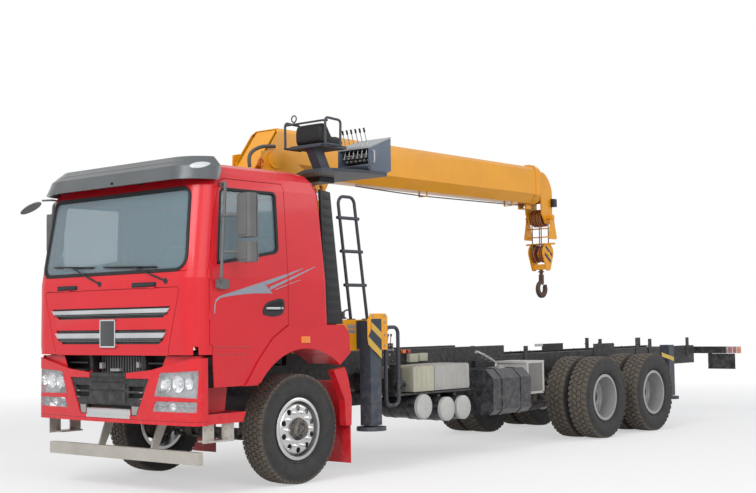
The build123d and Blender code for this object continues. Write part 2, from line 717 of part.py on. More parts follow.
def outrigger_beam(box_front_x, leg_x, head_x_low, head_x_high):
    """Beam that slides to the left, with its jack tube and striped head plate."""
    gap = MOVING_GAP
    x_low, x_high = box_front_x - BOX_W + BOX_WALL + gap, box_front_x - BOX_WALL - gap
    inner_y = BOX_HALF_L - BEAM_LENGTH
    leg_in = BOX_HALF_L + MOVING_GAP
    leg_out = leg_in + LEG_Y_W
    beam_z = (BOX_LOW + BOX_WALL + SEAT_GAP, BOX_HIGH - BOX_WALL - gap)
    beam = block((x_low, x_high), (inner_y, leg_in), beam_z)
    leg_low = FRONT_FOOT_Z + FOOT_T + 15
    half = LEG_X_W / 2
    tube = block((leg_x - half, leg_x + half), (leg_in, leg_out), (leg_low, BOX_HIGH - 10))
    head_outline = [
        (head_x_low, 1290), (head_x_high - 70, 1290), (head_x_high, 1400), (head_x_high, 1590),
        (head_x_high - 60, 1670), (head_x_low + 30, 1670), (head_x_low, 1640),
    ]
    head = side_prism(head_outline, leg_out, leg_out + 12)
    bore_y = leg_in + LEG_Y_W / 2
    bore = rod((leg_x, bore_y, leg_low - 1), (leg_x, bore_y, BOX_HIGH - 30), JACK_R + SEAT_GAP)
    return beam + tube + head - bore


def jack(leg_x, leg_y, foot_z, rod_top):
    foot = rod((leg_x, leg_y, foot_z), (leg_x, leg_y, foot_z + FOOT_T), FOOT_R)
    stem = rod((leg_x, leg_y, foot_z + FOOT_T), (leg_x, leg_y, rod_top), JACK_R)
    return foot + stem


def rear_outriggers():
    half = LEG_X_W / 2 - 8
    leg_in = REAR_LEG_Y - LEG_Y_W
    leg_y = REAR_LEG_Y - LEG_Y_W / 2
    leg_low = REAR_FOOT_Z + FOOT_T + 12
    box = block((REAR_LEG_X - 90, REAR_LEG_X + 90), (-leg_in, leg_in), (690, RAIL_BOTTOM))
    leg = block((REAR_LEG_X - half, REAR_LEG_X + half), (leg_in, REAR_LEG_Y), (leg_low, 1190))
    bore = rod((REAR_LEG_X, leg_y, leg_low - 1), (REAR_LEG_X, leg_y, 1170), JACK_R + SEAT_GAP)
    return box + both(leg - bore)


LADDER_Y = 1020
LADDER_FEET = (-930, -1195)
LADDER_TOPS = (-745, -1000)
LADDER_TOP_Z = 2905
TUBE_R = 17
RAIL_TUBE_R = 13
TRAY_R = 46
LEVERS = 6


def ladder():
    foot_front, foot_rear = LADDER_FEET
    top_front, top_rear = LADDER_TOPS
    points = [
        (foot_front, LADDER_Y, BOX_HIGH + 8), (top_front, LADDER_Y, LADDER_TOP_Z),
        (top_rear, LADDER_Y, LADDER_TOP_Z), (foot_rear, LADDER_Y, BOX_HIGH + 8),
    ]
    frame = tube_path(points, TUBE_R, 80)
    rungs = []
    for z in (1975, 2330, 2680):
        share = (z - BOX_HIGH) / (LADDER_TOP_Z - BOX_HIGH)
        front = foot_front + (top_front - foot_front) * share
        rear = foot_rear + (top_rear - foot_rear) * share
        rungs.append(rod((front + 40, LADDER_Y, z), (rear - 40, LADDER_Y, z), TUBE_R + 1))
    # Loop guard beside the control valves
    guard_y = 1140
    loop_points = [
        (-1460, guard_y, 690), (-1350, guard_y, 690), (-1350, guard_y, 1525),
        (-1560, guard_y, 1525), (-1560, guard_y, 690), (-1440, guard_y, 690),
    ]
    loop = tube_path(loop_points, TUBE_R + 3, 70)
    arm_x = LEFT_CHANNEL_X - BOX_W
    bank = block((-1540, arm_x), (560, 1000), (1300, 1500))
    links = [rod((-1350, guard_y, z), (-1300, 980, z), 14) for z in (1340, 1480)]
    pad_y = (LADDER_Y - 30, LADDER_Y + 30)
    pads = [block((x - 40, x + 30), pad_y, (BOX_HIGH, BOX_HIGH + 12)) for x in (foot_front, foot_rear + 25)]
    return Part() + [frame] + pads + rungs + [loop, bank] + links


# Slewing column and operator's station

def slew_column():
    low = BASE_TOP + 46
    outline = [
        (-1340, low), (-700, low), (-660, 2500), (-470, 3050), (-420, 3200), (-430, 3430), (-700, 3480),
        (-1130, 3250), (-1130, 2900), (-1340, 2300),
    ]
    inner = [
        (-2000, low + 30), (-725, low + 30), (-682, 2500), (-492, 3050), (-300, 3051),
        (-300, 3600), (-2000, 3600),
    ]
    column = side_prism(outline, -COLUMN_HALF, COLUMN_HALF)
    column -= side_prism(inner, -COLUMN_HALF + COLUMN_PLATE, COLUMN_HALF - COLUMN_PLATE)
    ring = rod((SLEW_X, 0, low), (SLEW_X, 0, low + 30), 310)
    socket = rod((SLEW_X, 0, low - 1), (SLEW_X, 0, low + 33), 150 + SEAT_GAP)
    boom_pin = pin_y(*BOOM_PIVOT, BOOM_PIN_R, -COLUMN_HALF - 30, COLUMN_HALF + 30)
    bosses = both(pin_y(*BOOM_PIVOT, 95, COLUMN_HALF, COLUMN_HALF + 25))
    luff_pin = pin_y(*LUFF_FOOT, LUFF_PIN_R, -COLUMN_HALF - 10, COLUMN_HALF + 10)
    # Winch on the right cheek
    winch_x, winch_z = -1000, 2700
    drum = pin_y(winch_x, winch_z, 90, -COLUMN_HALF - 270, -COLUMN_HALF)
    flanges = [pin_y(winch_x, winch_z, 135, -COLUMN_HALF - y - 14, -COLUMN_HALF - y) for y in (20, 250)]
    solids = [column + ring - socket, boom_pin, bosses, luff_pin, drum] + flanges
    return Part() + solids


SEAT_PAN_TOP = 3425
SEAT_X = (-820, -400)
SEAT_Y = (680, 1110)
DECK_Z = (3150, 3185)
CONSOLE_FRONT_X = -1050
CONSOLE_Y = (760, 1215)


def operator_station():
    deck_outline = [
        (-1400, 300), (-1400, 1150), (-1330, 1215), (-1000, 1215), (-600, 1090), (-520, 1000),
        (-520, 760), (-800, 300),
    ]
    deck = plan_prism(deck_outline, *DECK_Z)
    arm = block((-1120, -880), (COLUMN_HALF, 640), (3100, DECK_Z[0]))
    post = side_prism([(-700, DECK_Z[1]), (-560, DECK_Z[1]), (-440, 3400), (-580, 3400)], 850, 970)
    pan = block((SEAT_X[0] + 20, SEAT_X[1]), SEAT_Y, (3393, SEAT_PAN_TOP))
    # Back rail, side hoops and lifting ring round the seat
    low = SEAT_PAN_TOP - 14
    back_x, near_y, far_y = SEAT_X[1] - 5, 1172, 600
    corner = tube_path([
        (back_x, far_y, 3655), (back_x, near_y - 40, 3655), (back_x - 40, near_y, 3655),
    ], RAIL_TUBE_R - 2, 20)
    parts = [deck, arm, post, pan, corner]
    for y in (near_y, far_y):
        hoop = [
            (back_x, y, low), (back_x, y, 3685), (back_x - 235, y, 3675), (back_x - 225, y, low),
        ]
        parts.append(tube_path(hoop, RAIL_TUBE_R, 40))
        parts.append(rod((back_x - 238, y, low), (back_x + 13, y, low), RAIL_TUBE_R - 1))
    for x in (back_x - 20, back_x - 205):
        parts.append(rod((x, far_y, low), (x, near_y, low), RAIL_TUBE_R - 2))
    ring_plane = Plane(origin=(back_x, 730, 3712), z_dir=(1, 0, 0))
    parts.append(ring_plane * Torus(34, 7))
    parts.append(rod((back_x, 730, 3650), (back_x, 730, 3684), 8))
    # Half-round tray under the console's open face
    tray_x, tray_z = CONSOLE_FRONT_X + 14, DECK_Z[1] + TRAY_R - 2
    tray = rod((tray_x, CONSOLE_Y[0] - 30, tray_z), (tray_x, CONSOLE_Y[1] + 20, tray_z), TRAY_R)
    tray -= rod((tray_x, CONSOLE_Y[0] - 24, tray_z), (tray_x, CONSOLE_Y[1] + 14, tray_z), TRAY_R - 5)
    tray -= block((tray_x - 60, tray_x + 60), (600, 1300), (tray_z, tray_z + 60))
    tray -= block((tray_x - 60, CONSOLE_FRONT_X + MOVING_GAP), (600, 1300), (DECK_Z[1], tray_z + 1))
    parts.append(tray)
    return Part() + parts


def seat_cushion():
    """Bucket seat whose back is towards the cab."""
    back, front, low = SEAT_X[1] - 28, SEAT_X[0] + 30, SEAT_PAN_TOP + SEAT_GAP
    outline = [
        (front, low), (front - 10, low + 70), (back - 130, low + 78), (back - 78, low + 225),
        (back - 20, low + 225), (back, low),
    ]
    pad = side_prism(outline, SEAT_Y[0] + 25, SEAT_Y[1] - 25)
    return fillet(pad.edges().filter_by(Axis.Y), 16)


def control_console():
    """Lever console with its valves in an open front."""
    low_y, high_y = CONSOLE_Y
    front, floor = CONSOLE_FRONT_X, DECK_Z[1]
    hood_outline = [
        (front, floor), (front, 3445), (front - 350, 3571), (front - 350, 3205), (front - 300, floor),
    ]
    hood = side_prism(hood_outline, low_y, high_y)
    hood -= block((front - 150, front + 1), (low_y + 25, high_y - 25), (3260, 3425))
    parts = [hood]
    pitch = (high_y - low_y - 90) / LEVERS
    for index in range(LEVERS):
        y = low_y + 45 + pitch * (index + 0.5)
        parts.append(block((front - 151, front - 70), (y - pitch * 0.36, y + pitch * 0.36), (3290, 3385)))
        parts.append(rod((front - 71, y, 3338), (front - 25, y, 3338), 11))
        parts.append(rod((front - 60, y, 3455), (front + 5, y, 3640), 7))
        parts.append(rod((front + 3, y, 3634), (front + 14, y, 3664), 13))
    grab = [
        (front - 25, high_y - 2, 3395), (front - 25, high_y + 42, 3395),
        (front - 25, high_y + 42, 3265), (front - 25, high_y - 2, 3265),
    ]
    parts.append(tube_path(grab, 9, 20))
    return Part() + parts


# Boom, luffing cylinder, hook

def boom_face(inset, x):
    """Six-sided box section, inset from the base section."""
    half = BOOM_HALF - inset
    low, high = BOOM_LOW + inset, BOOM_HIGH - inset
    points = [
        (-110, low), (110, low), (half, low + 125), (half, high - 45), (half - 45, high),
        (-half + 45, high), (-half, high - 45), (-half, low + 125),
    ]
    return make_face(Polyline(*[(x, y, z) for y, z in points], close=True))


def boom_tube(inset, x_rear, x_front):
    """Hollow boom section between two stations."""
    outer = extrude(boom_face(inset, x_rear), amount=x_front - x_rear, dir=(1, 0, 0))
    inner = extrude(boom_face(inset + BOOM_WALL, x_rear - 1), amount=x_front - x_rear + 2, dir=(1, 0, 0))
    return outer - inner


def collar(inset, x_rear, length):
    """Stiffening collar at a section's tip, just clear of the next section."""
    outer = extrude(boom_face(inset - 10, x_rear), amount=length, dir=(1, 0, 0))
    inner_inset = inset + SECTION_STEP - SEAT_GAP
    inner = extrude(boom_face(inner_inset, x_rear - 1), amount=length + 2, dir=(1, 0, 0))
    return outer - inner


def boom_base():
    tube = boom_tube(0, BOOM_TIP, -300)
    beyond = BOOM_HIGH + 5
    knee, below = BOOM_LOW + 34, BOOM_LOW - 62
    slope_outline = [(-385, below), (-385, knee), (-727, beyond), (-200, beyond), (-200, below)]
    tube -= side_prism(slope_outline, -300, 300)
    # Closing plate on the slope of the root
    rim = BOOM_HIGH - 15
    plate_outline = [
        (-385, BOOM_LOW), (-385, knee), (-722, rim), (-745, rim), (-405, knee), (-405, BOOM_LOW),
    ]
    tube += side_prism(plate_outline, -150, 150)
    tube += collar(0, BOOM_TIP, 90)
    # Rope hoops under the section: middle x, half length, depth
    for x, half, depth in ((-3500, 8, 55), (-5400, 8, 55), (BOOM_TIP + 75, 60, 75)):
        hoop = block((x - half, x + half), (-70, 70), (BOOM_LOW - depth, BOOM_LOW))
        hoop -= block((x - half - 1, x + half + 1), (-55, 55), (BOOM_LOW - depth + 12, BOOM_LOW))
        tube += hoop
    head_x, head_z = LUFF_HEAD
    lug_low = head_z - 50
    lug_outline = [
        (head_x - 150, BOOM_LOW + 5), (head_x + 150, BOOM_LOW + 5),
        (head_x + 60, lug_low), (head_x - 60, lug_low),
    ]
    lug = side_prism(lug_outline, 66, 90)
    tube += both(lug)
    tube -= pin_y(*BOOM_PIVOT, BOOM_PIN_R + SEAT_GAP, -300, 300)
    tube -= pin_y(*LUFF_HEAD, LUFF_PIN_R, -120, 120)
    # Top stops at the tip, in pairs
    for index in range(3):
        x = BOOM_TIP + 30 + 62 * index
        tube += both(pin_y(x, BOOM_HIGH + 10, 24, 70, 150))
    return tube


def boom_section(number):
    inset = SECTION_STEP * number
    tip = BOOM_TIP - 45 * number
    tube = boom_tube(inset, tip, -980 - 60 * number)
    return tube + collar(inset, tip, 40)


def sheave(x, z, y, root_r):
    """Grooved rope sheave about a cross axle."""
    return Pos(x, y, z) * turned([
        (-SHEAVE_HALF_W, 0), (-SHEAVE_HALF_W, SHEAVE_RIM_R), (-SHEAVE_HALF_W + 6, SHEAVE_RIM_R),
        (-9, root_r), (9, root_r), (SHEAVE_HALF_W - 6, SHEAVE_RIM_R), (SHEAVE_HALF_W, SHEAVE_RIM_R),
        (SHEAVE_HALF_W, 0),
    ])


def nose_strip(tip, depth):
    """Edge of the boom's nose from its top to its front, moved in by a depth."""
    top_z, low_z = BOOM_HIGH - SECTION_STEP * 3, BOOM_LOW + 38
    front = tip - NOSE_L + depth
    shoulder = (tip - 70, top_z - depth)
    bend = (tip - NOSE_L * 0.78 + depth * 0.7, BOOM_HIGH - 165 - depth * 0.7)
    chin = (front, BOOM_LOW + 190)
    start = Line((tip, top_z - depth), shoulder)
    return [start, ThreePointArc(shoulder, bend, chin), Line(chin, (front, low_z))]


def nose_cheek(tip):
    axle_x, axle_z = HEAD_AXLE
    low = [
        (tip - NOSE_L, BOOM_LOW + 38), (axle_x - 105, axle_z - 40), (axle_x - 50, axle_z - 92),
        (axle_x + 60, axle_z - 90), (tip - 20, BOOM_LOW - 132), (tip, BOOM_LOW + 88),
        (tip, BOOM_HIGH - SECTION_STEP * 3),
    ]
    edges = nose_strip(tip, 0) + [Line(a, b) for a, b in zip(low, low[1:])]
    return extrude(Pos(0, 120, 0) * (Plane.XZ * make_face(edges)), amount=20, dir=(0, 1, 0))


def nose_cap(tip):
    outer, inner = nose_strip(tip, 0), nose_strip(tip, 16)
    ends = [Line(outer[0] @ 0, inner[0] @ 0), Line(outer[2] @ 1, inner[2] @ 1)]
    face = Pos(0, -120, 0) * (Plane.XZ * make_face(outer + inner + ends))
    return extrude(face, amount=240, dir=(0, 1, 0))


def boom_head():
    inset = SECTION_STEP * 3
    tip = BOOM_TIP - 45 * 3
    tube = boom_tube(inset, tip, -980 - 60 * 3)
    axle_x, axle_z = HEAD_AXLE
    bulkhead = block((tip - 15, tip), (-140, 140), (BOOM_LOW + 58, BOOM_HIGH - inset - 5))
    axle = pin_y(axle_x, axle_z, AXLE_R, -GUIDE_Y - 26, GUIDE_Y + 26)
    sheaves = [sheave(axle_x, axle_z, y, SHEAVE_R) for y in (-60, 0, 60)]
    # Limit switch box on the nose
    box_x = tip - NOSE_L
    limit = block((box_x - 45, box_x + 40), (70, 190), (BOOM_LOW - 20, BOOM_LOW + 90))
    limit = chamfer(limit.edges().filter_by(Axis.Y), 18)
    return Part() + [tube, both(nose_cheek(tip)), nose_cap(tip), bulkhead, axle, limit] + sheaves


def luff_direction():
    run = Vector(LUFF_HEAD[0] - LUFF_FOOT[0], 0, LUFF_HEAD[1] - LUFF_FOOT[1])
    return run.normalized(), run.length


def along_luff(distance):
    direction, _ = luff_direction()
    return (LUFF_FOOT[0] + direction.X * distance, 0, LUFF_FOOT[1] + direction.Z * distance)


def luff_cylinder():
    _, length = luff_direction()
    barrel = rod(along_luff(60), along_luff(length - 150), LUFF_BARREL_R)
    eye = pin_y(*LUFF_FOOT, 78, -80, 80)
    bore = rod(along_luff(88), along_luff(length - 140), LUFF_ROD_R + SEAT_GAP)
    hole = pin_y(*LUFF_FOOT, LUFF_PIN_R + SEAT_GAP, -90, 90)
    return barrel + eye - bore - hole


def luff_rod():
    _, length = luff_direction()
    stem = rod(along_luff(92), along_luff(length - 20), LUFF_ROD_R)
    eye = pin_y(*LUFF_HEAD, 62, -60, 60)
    return stem + eye


BLOCK_TOP = 2670
BLOCK_LOW = 2290
BLOCK_SHEAVE_Z = 2520
BLOCK_PLATE_Y = 110
HOOK_R = 124
HOOK_DROP = 10
HOOK_T = 56
THROAT_R = 62


def guide_frame():
    """Plates that hang from the head's axle and guide the block."""
    axle_x, axle_z = HEAD_AXLE
    outline = [
        (axle_x - 40, axle_z + 42), (axle_x + 40, axle_z + 42), (axle_x + 50, axle_z - 60),
        (axle_x + 105, axle_z - 290), (axle_x + 80, axle_z - 308), (axle_x - 80, axle_z - 308),
        (axle_x - 105, axle_z - 290), (axle_x - 50, axle_z - 60),
    ]
    plate = side_prism(outline, GUIDE_Y, GUIDE_Y + 10)
    plate -= pin_y(axle_x, axle_z, AXLE_R + SEAT_GAP, GUIDE_Y - 1, GUIDE_Y + 11)
    bars = [pin_y(axle_x, axle_z - drop, 9, -GUIDE_Y, GUIDE_Y) for drop in (150, 270)]
    return Part() + [both(plate)] + bars


def hook_block():
    x = HEAD_AXLE[0]
    wide, narrow, low_z = 138, 55, BLOCK_LOW + 10
    upper = ThreePointArc((x - wide, BLOCK_SHEAVE_Z), (x, BLOCK_TOP), (x + wide, BLOCK_SHEAVE_Z))
    lower = ThreePointArc((x - narrow, low_z), (x, low_z - 22), (x + narrow, low_z))
    sides = [Line((x + side * wide, BLOCK_SHEAVE_Z), (x + side * narrow, low_z)) for side in (-1, 1)]
    face = Pos(0, BLOCK_PLATE_Y, 0) * (Plane.XZ * make_face([upper, lower] + sides))
    plates = both(extrude(face, amount=16, dir=(0, 1, 0)))
    sheaves = [sheave(x, BLOCK_SHEAVE_Z, y, SHEAVE_R + 1) for y in (-60, 60)]
    reach = BLOCK_PLATE_Y + 26
    axle = pin_y(x, BLOCK_SHEAVE_Z, AXLE_R, -reach, reach)
    trunnion = block((x - 42, x + 42), (-BLOCK_PLATE_Y, BLOCK_PLATE_Y), (BLOCK_LOW + 8, BLOCK_LOW + 82))
    top = block((x - 95, x + 95), (-BLOCK_PLATE_Y, BLOCK_PLATE_Y), (BLOCK_TOP - 16, BLOCK_TOP - 4))
    lug = block((x - 60, x + 60), (BLOCK_PLATE_Y - 8, BLOCK_PLATE_Y + 8), (BLOCK_TOP - 90, BLOCK_TOP - 4))
    bar = pin_y(x, BLOCK_TOP - 10, 13, -240, 240)
    parts = [plates, axle, trunnion, top, both(lug), bar] + sheaves
    for y in (-60, 60):
        for fall_x in (x - ROPE_REACH, x + ROPE_REACH):
            parts.append(rod((fall_x, y, BLOCK_SHEAVE_Z), (fall_x, y, HEAD_AXLE[1]), ROPE_R))
    return Part() + parts + [guide_frame()]


def hook():
    """Forged hook, thickest under its throat, with a safety latch."""
    x = HEAD_AXLE[0]
    shank = rod((x, 0, 2200), (x, 0, BLOCK_LOW + 7.5), 26)
    nut = rod((x, 0, BLOCK_LOW - 30), (x, 0, BLOCK_LOW - 16), 44)
    centre_z = HOOK_Z - 150
    bowl = Pos(0, -HOOK_DROP, 0) * Circle(HOOK_R) - Circle(THROAT_R)
    mouth = make_face(Polyline((-12, 40), (-40, 150), (-150, 110), (-70, 20), close=True))
    face = Pos(x, -HOOK_T / 2, centre_z) * (Plane.XZ * (bowl - mouth))
    curve = extrude(face, amount=HOOK_T, dir=(0, 1, 0))
    curve = chamfer(curve.edges().filter_by(GeomType.CIRCLE), 12)
    neck = block((x - 28, x + 28), (-26, 26), (centre_z + THROAT_R + 12, 2225))
    latch = rod((x - 8, 0, centre_z + 66), (x - 78, 0, centre_z + 42), 7)
    return curve + neck + shank + nut + latch


# Cab

# Height, front x, rear x, half width, front corner radius, rear corner radius
CAB_SECTIONS = [
    (1000, 1395, -360, 1236, 190, 40),
    (1400, 1428, -355, 1240, 200, 50),
    (2010, 1432, -335, 1240, 225, 55),
    (2870, 1300, -295, 1190, 225, 70),
    (2985, 1232, -280, 1145, 220, 90),
    (3060, 1140, -250, 1080, 205, 115),
    (3100, 1000, -180, 985, 180, 130),
]


def skin_half(z):
    """Half width of the cab's skin at a height."""
    for below, above in zip(CAB_SECTIONS, CAB_SECTIONS[1:]):
        if below[0] <= z <= above[0]:
            share = (z - below[0]) / (above[0] - below[0])
            return below[3] + (above[3] - below[3]) * share


def cab_skin(inset, floor, roof_drop):
    """Cab body as lofted plan sections, inset from the outer skin."""
    faces = []
    rows = [row for row in CAB_SECTIONS if row[0] > floor]
    start = CAB_SECTIONS[0] if floor <= CAB_SECTIONS[0][0] else CAB_SECTIONS[1]
    if rows[0] is not start:
        rows = [start] + rows
    for index, (z, front, rear, half, front_r, rear_r) in enumerate(rows):
        height = floor if index == 0 and floor > z else z
        if index == len(rows) - 1:
            height = z - roof_drop
        x0, x1, y = rear + inset, front - inset, half - inset
        corners = [(x0, -y), (x1, -y), (x1, y), (x0, y)]
        radii = [max(rear_r - inset, 8), front_r - inset, front_r - inset, max(rear_r - inset, 8)]
        wire = FilletPolyline(*[(x, yy, height) for x, yy in corners], radius=radii, close=True)
        faces.append(make_face(wire))
    return loft(faces, ruled=True)


DOOR_OUTLINE = [
    (830, 1000), (1205, 1000), (1225, 1380), (1257, 1400), (1257, 2080),
    (1165, 2620), (1080, 2910), (1000, 2945), (228, 2945), (228, 1500), (520, 1300), (700, 1150),
]
WINDOW_OUTLINE = [
    (1155, 2130), (1080, 2815), (1040, 2850), (375, 2850), (345, 2820), (345, 2290), (380, 2255),
]
SCREEN_OUTLINE = [(-1100, 2070), (1100, 2070), (1040, 2860), (-1040, 2860)]
LID_OUTLINE = [(-850, 1300), (850, 1300), (1020, 1900), (1000, 1925), (-1000, 1925), (-1020, 1900)]


def prism_face(points, distance):
    face = make_face(Polyline(*points, close=True))
    if distance:
        face = offset(face, amount=-distance, kind=Kind.INTERSECTION)
    return face


def side_cut(points, distance, y_low, y_high):
    """Prism across the vehicle whose (x, z) outline is moved in by a distance."""
    face = Pos(0, y_low, 0) * (Plane.XZ * prism_face(points, distance))
    return extrude(face, amount=y_high - y_low, dir=(0, 1, 0))


def front_cut(points, distance, x_low, x_high):
    """Prism along the vehicle whose (y, z) outline is moved in by a distance."""
    face = Pos(x_low, 0, 0) * (Plane.YZ * prism_face(points, distance))
    return extrude(face, amount=x_high - x_low, dir=(1, 0, 0))


def cab_room():
    """Space inside the cab, its corners bevelled behind the rounded skin."""
    faces = []
    rows = [(CAB_FLOOR + CAB_FLOOR_T,) + CAB_SECTIONS[1][1:]] + CAB_SECTIONS[2:-2]
    top = CAB_SECTIONS[-1]
    rows.append((top[0] - CAB_WALL,) + top[1:])
    for z, front, rear, half, _, _ in rows:
        x0, x1, y = rear + CAB_WALL, front - CAB_WALL, half - CAB_WALL
        bevel = CAB_ROOM_BEVEL
        outline = [
            (x0, -y), (x1 - bevel, -y), (x1, -y + bevel), (x1, y - bevel), (x1 - bevel, y), (x0, y),
        ]
        faces.append(make_face(Polyline(*[(x, yy, z) for x, yy in outline], close=True)))
    return loft(faces, ruled=True)


cab_hull = cab_skin(0, 1000, 0) - cab_room()

# Fender over the front wheel, on the cab
ARCH_SIDE = [
    (815, 1005), (640, 1240), (450, 1440), (240, 1560),
    (-560, 1560), (-640, 1480), (-660, 1275), (-480, 1140),
]


def arch_flare():
    outer = side_prism(ARCH_SIDE, 1150, CAB_HALF_W + 12)
    hole = rod((0, 1100, WHEEL_Z), (0, 1400, WHEEL_Z), ARCH_R)
    liner = arc_panel(ARCH_R, ARCH_R + 20, 36, 128, 820, 1160)
    return outer - hole + liner


def cab_shell():
    shell = cab_hull
    # Below the floor only the skirts are left
    reach = CAB_HALF_W - CAB_WALL
    shell -= block((-700, 1383), (-reach, reach), (900, CAB_FLOOR))
    shell -= block((1180, 1700), (-1400, 1400), (900, CORNER_LOW))
    shell -= block((-700, 230), (-1400, 1400), (900, 1300))
    shell -= both(rod((0, 700, WHEEL_Z), (0, 1400, WHEEL_Z), ARCH_R))
    shell -= both(side_cut(DOOR_OUTLINE, 0, 1100, 1400))
    shell += both(arch_flare())
    shell -= front_cut(SCREEN_OUTLINE, 0, 900, 1700)
    shell -= front_cut(LID_OUTLINE, -DOOR_GAP, 1000, 1700) - cab_skin(LID_T + DOOR_GAP, 1000, 0)
    for z in (1620, 2000):
        pin = rod((DOOR_HINGE_X, DOOR_HINGE_Y, z), (DOOR_HINGE_X, DOOR_HINGE_Y, z + 90), DOOR_PIN_R)
        shell += both(pin)
    low_y, high_y = LID_PINS_Y
    shell += both(pin_y(*LID_HINGE, LID_PIN_R, low_y, high_y))
    x, z = CAB_PIVOT
    lug_outline = [
        (x - 40, z - 45), (x + 40, z - 45), (x + 46, z + 12), (x - 10, z + 75), (x - 10, z + 180),
        (x + 40, CAB_FLOOR + 10), (x - 160, CAB_FLOOR + 10), (x - 48, z + 20),
    ]
    lug = side_prism(lug_outline, RAIL_HALF - 46, RAIL_HALF - 8)
    lug -= pin_y(x, z, CAB_PIVOT_R + SEAT_GAP, RAIL_HALF - 60, RAIL_HALF)
    return shell + both(lug)


def cab_door():
    """Left door with its window cut, hinge notches and mirror."""
    door = cab_hull & side_cut(DOOR_OUTLINE, DOOR_GAP, 1100, 1400)
    skirt = block((-700, 1700), (0, CAB_HALF_W - CAB_WALL), (900, CAB_FLOOR))
    door -= skirt
    # Thin lower skin that swings past the bumper when the cab tilts
    door -= block((CAB_PIVOT[0] - 215, 1700), (0, CAB_HALF_W - DOOR_SKIRT_T), (900, CORNER_LOW))
    door -= side_cut(ARCH_SIDE, -DOOR_GAP, 1000, 1400)
    door -= rod((0, 700, WHEEL_Z), (0, 1400, WHEEL_Z), ARCH_R)
    door -= side_cut(WINDOW_OUTLINE, 0, 1000, 1400)
    for z in (1620, 2000):
        low, high = (DOOR_HINGE_X, DOOR_HINGE_Y, z - 3), (DOOR_HINGE_X, DOOR_HINGE_Y, z + 93)
        door -= rod(low, high, DOOR_PIN_R + SEAT_GAP)
    return door


def cab_layer(outer, inner):
    """Sheet that follows the cab's skin between two depths."""
    return cab_skin(outer, 1000, outer) - cab_skin(inner, 1000, inner)


def door_glass():
    pane = cab_layer(GLASS_INSET, GLASS_INSET + GLASS_T)
    return pane & side_cut(WINDOW_OUTLINE, SEAT_GAP, 1000, 1400)


def windscreen():
    pane = cab_layer(GLASS_INSET, GLASS_INSET + GLASS_T)
    return pane & front_cut(SCREEN_OUTLINE, SEAT_GAP, 900, 1700)


# Openings through the lid: low and high z, half width at each
LID_SLOTS = [(1406, 1542, 738, 848), (1650, 1754, 798, 905)]
# Louvre bars across them, in the same columns
LID_BARS = [(1432, 1507, 780, 845), (1683, 1731, 850, 900)]
EMBLEM_HALF = 115
EMBLEM_Z = (1378, 1638)
EMBLEM_X = (1404, 1442)


def band(low, high, low_half, high_half):
    """Cross band of the cab's front, wider or narrower at its top."""
    outline = [(-low_half, low), (low_half, low), (high_half, high), (-high_half, high)]
    return front_prism(outline, 1100, 1700)


def grille_lid():
    lid = cab_layer(0, LID_T) & front_cut(LID_OUTLINE, 0, 1000, 1700)
    bars = cab_layer(-3, LID_T - 8)
    for slot, bar in zip(LID_SLOTS, LID_BARS):
        lid -= band(*slot)
        lid += bars & band(*bar)
    emblem = block(EMBLEM_X, (-EMBLEM_HALF, EMBLEM_HALF), EMBLEM_Z)
    lid += fillet(emblem.edges().filter_by(Axis.X), 14)
    low_y, high_y = LID_PINS_Y
    notch = pin_y(*LID_HINGE, LID_PIN_R + SEAT_GAP, low_y - 3, high_y + 3)
    return lid - both(notch)


def mirrors():
    """Left door mirrors on a bent tube."""
    foot_low_z, foot_high_z = 1950, 2876
    arm = tube_path([
        (1060, 1208, foot_high_z), (1120, 1320, 2890), (1190, 1330, 2010), (1150, 1268, foot_low_z),
    ], 14, 45)
    skin = skin_half(foot_high_z - 20) + SEAT_GAP
    foot_high = block((1040, 1080), (skin, skin + 24), (foot_high_z - 20, foot_high_z + 20))
    foot_low = block((1050, 1180), (CAB_HALF_W + SEAT_GAP, 1285), (foot_low_z - 45, foot_low_z + 45))
    foot_low = fillet(foot_low.edges().filter_by(Axis.Y), 18)
    parts = [arm, foot_high, foot_low]
    # Mirror heads: low z, high z
    for low, high in ((2145, 2335), (2375, 2780)):
        head = block((940, 1058), (1390, 1560), (low, high))
        parts.append(fillet(head.edges().filter_by(Axis.Z), 36))
        middle = (low + high) / 2
        parts.append(rod((1168, 1327, middle), (1040, 1430, middle), 12))
    return Part() + parts


# Sun visor over the windscreen: height, front x, half width, corner radius
VISOR_SECTIONS = [(2918, 1441, 1222, 330), (3050, 1395, 1190, 330), (3150, 1290, 1120, 320)]
VISOR_SIDE = [
    (1140, 2900), (1095, 2950), (1062, 3010), (1056, 3070), (1070, 3170), (1500, 3170), (1500, 2900),
]
VISOR_T = 24
VISOR_STAYS_Y = (-900, -300, 300, 900)


def visor_body(inset):
    faces = []
    for z, front, half, radius in VISOR_SECTIONS:
        high = z - inset if z == VISOR_SECTIONS[-1][0] else z
        x, y = front - inset, half - inset
        corners = [(800, -y), (x, -y), (x, y), (800, y)]
        radii = [10, radius - inset, radius - inset, 10]
        wire = FilletPolyline(*[(xx, yy, high) for xx, yy in corners], radius=radii, close=True)
        faces.append(make_face(wire))
    return loft(faces, ruled=True)


def cab_visor():
    body = visor_body(0) - cab_skin(-SEAT_GAP, 1000, -SEAT_GAP)
    visor = (body - visor_body(VISOR_T)) & side_prism(VISOR_SIDE, -1300, 1300)
    stays = [body & block((1075, 1500), (y - 12, y + 12), (2930, 3140)) for y in VISOR_STAYS_Y]
    rear_panel = side_prism([(-290, 2925), (-430, 2905), (-600, 1570), (-352, 1570)], 1170, 1200)
    rear_panel -= cab_skin(-SEAT_GAP, 1000, -SEAT_GAP)
    return Part() + [visor] + stays + [both(rear_panel)]


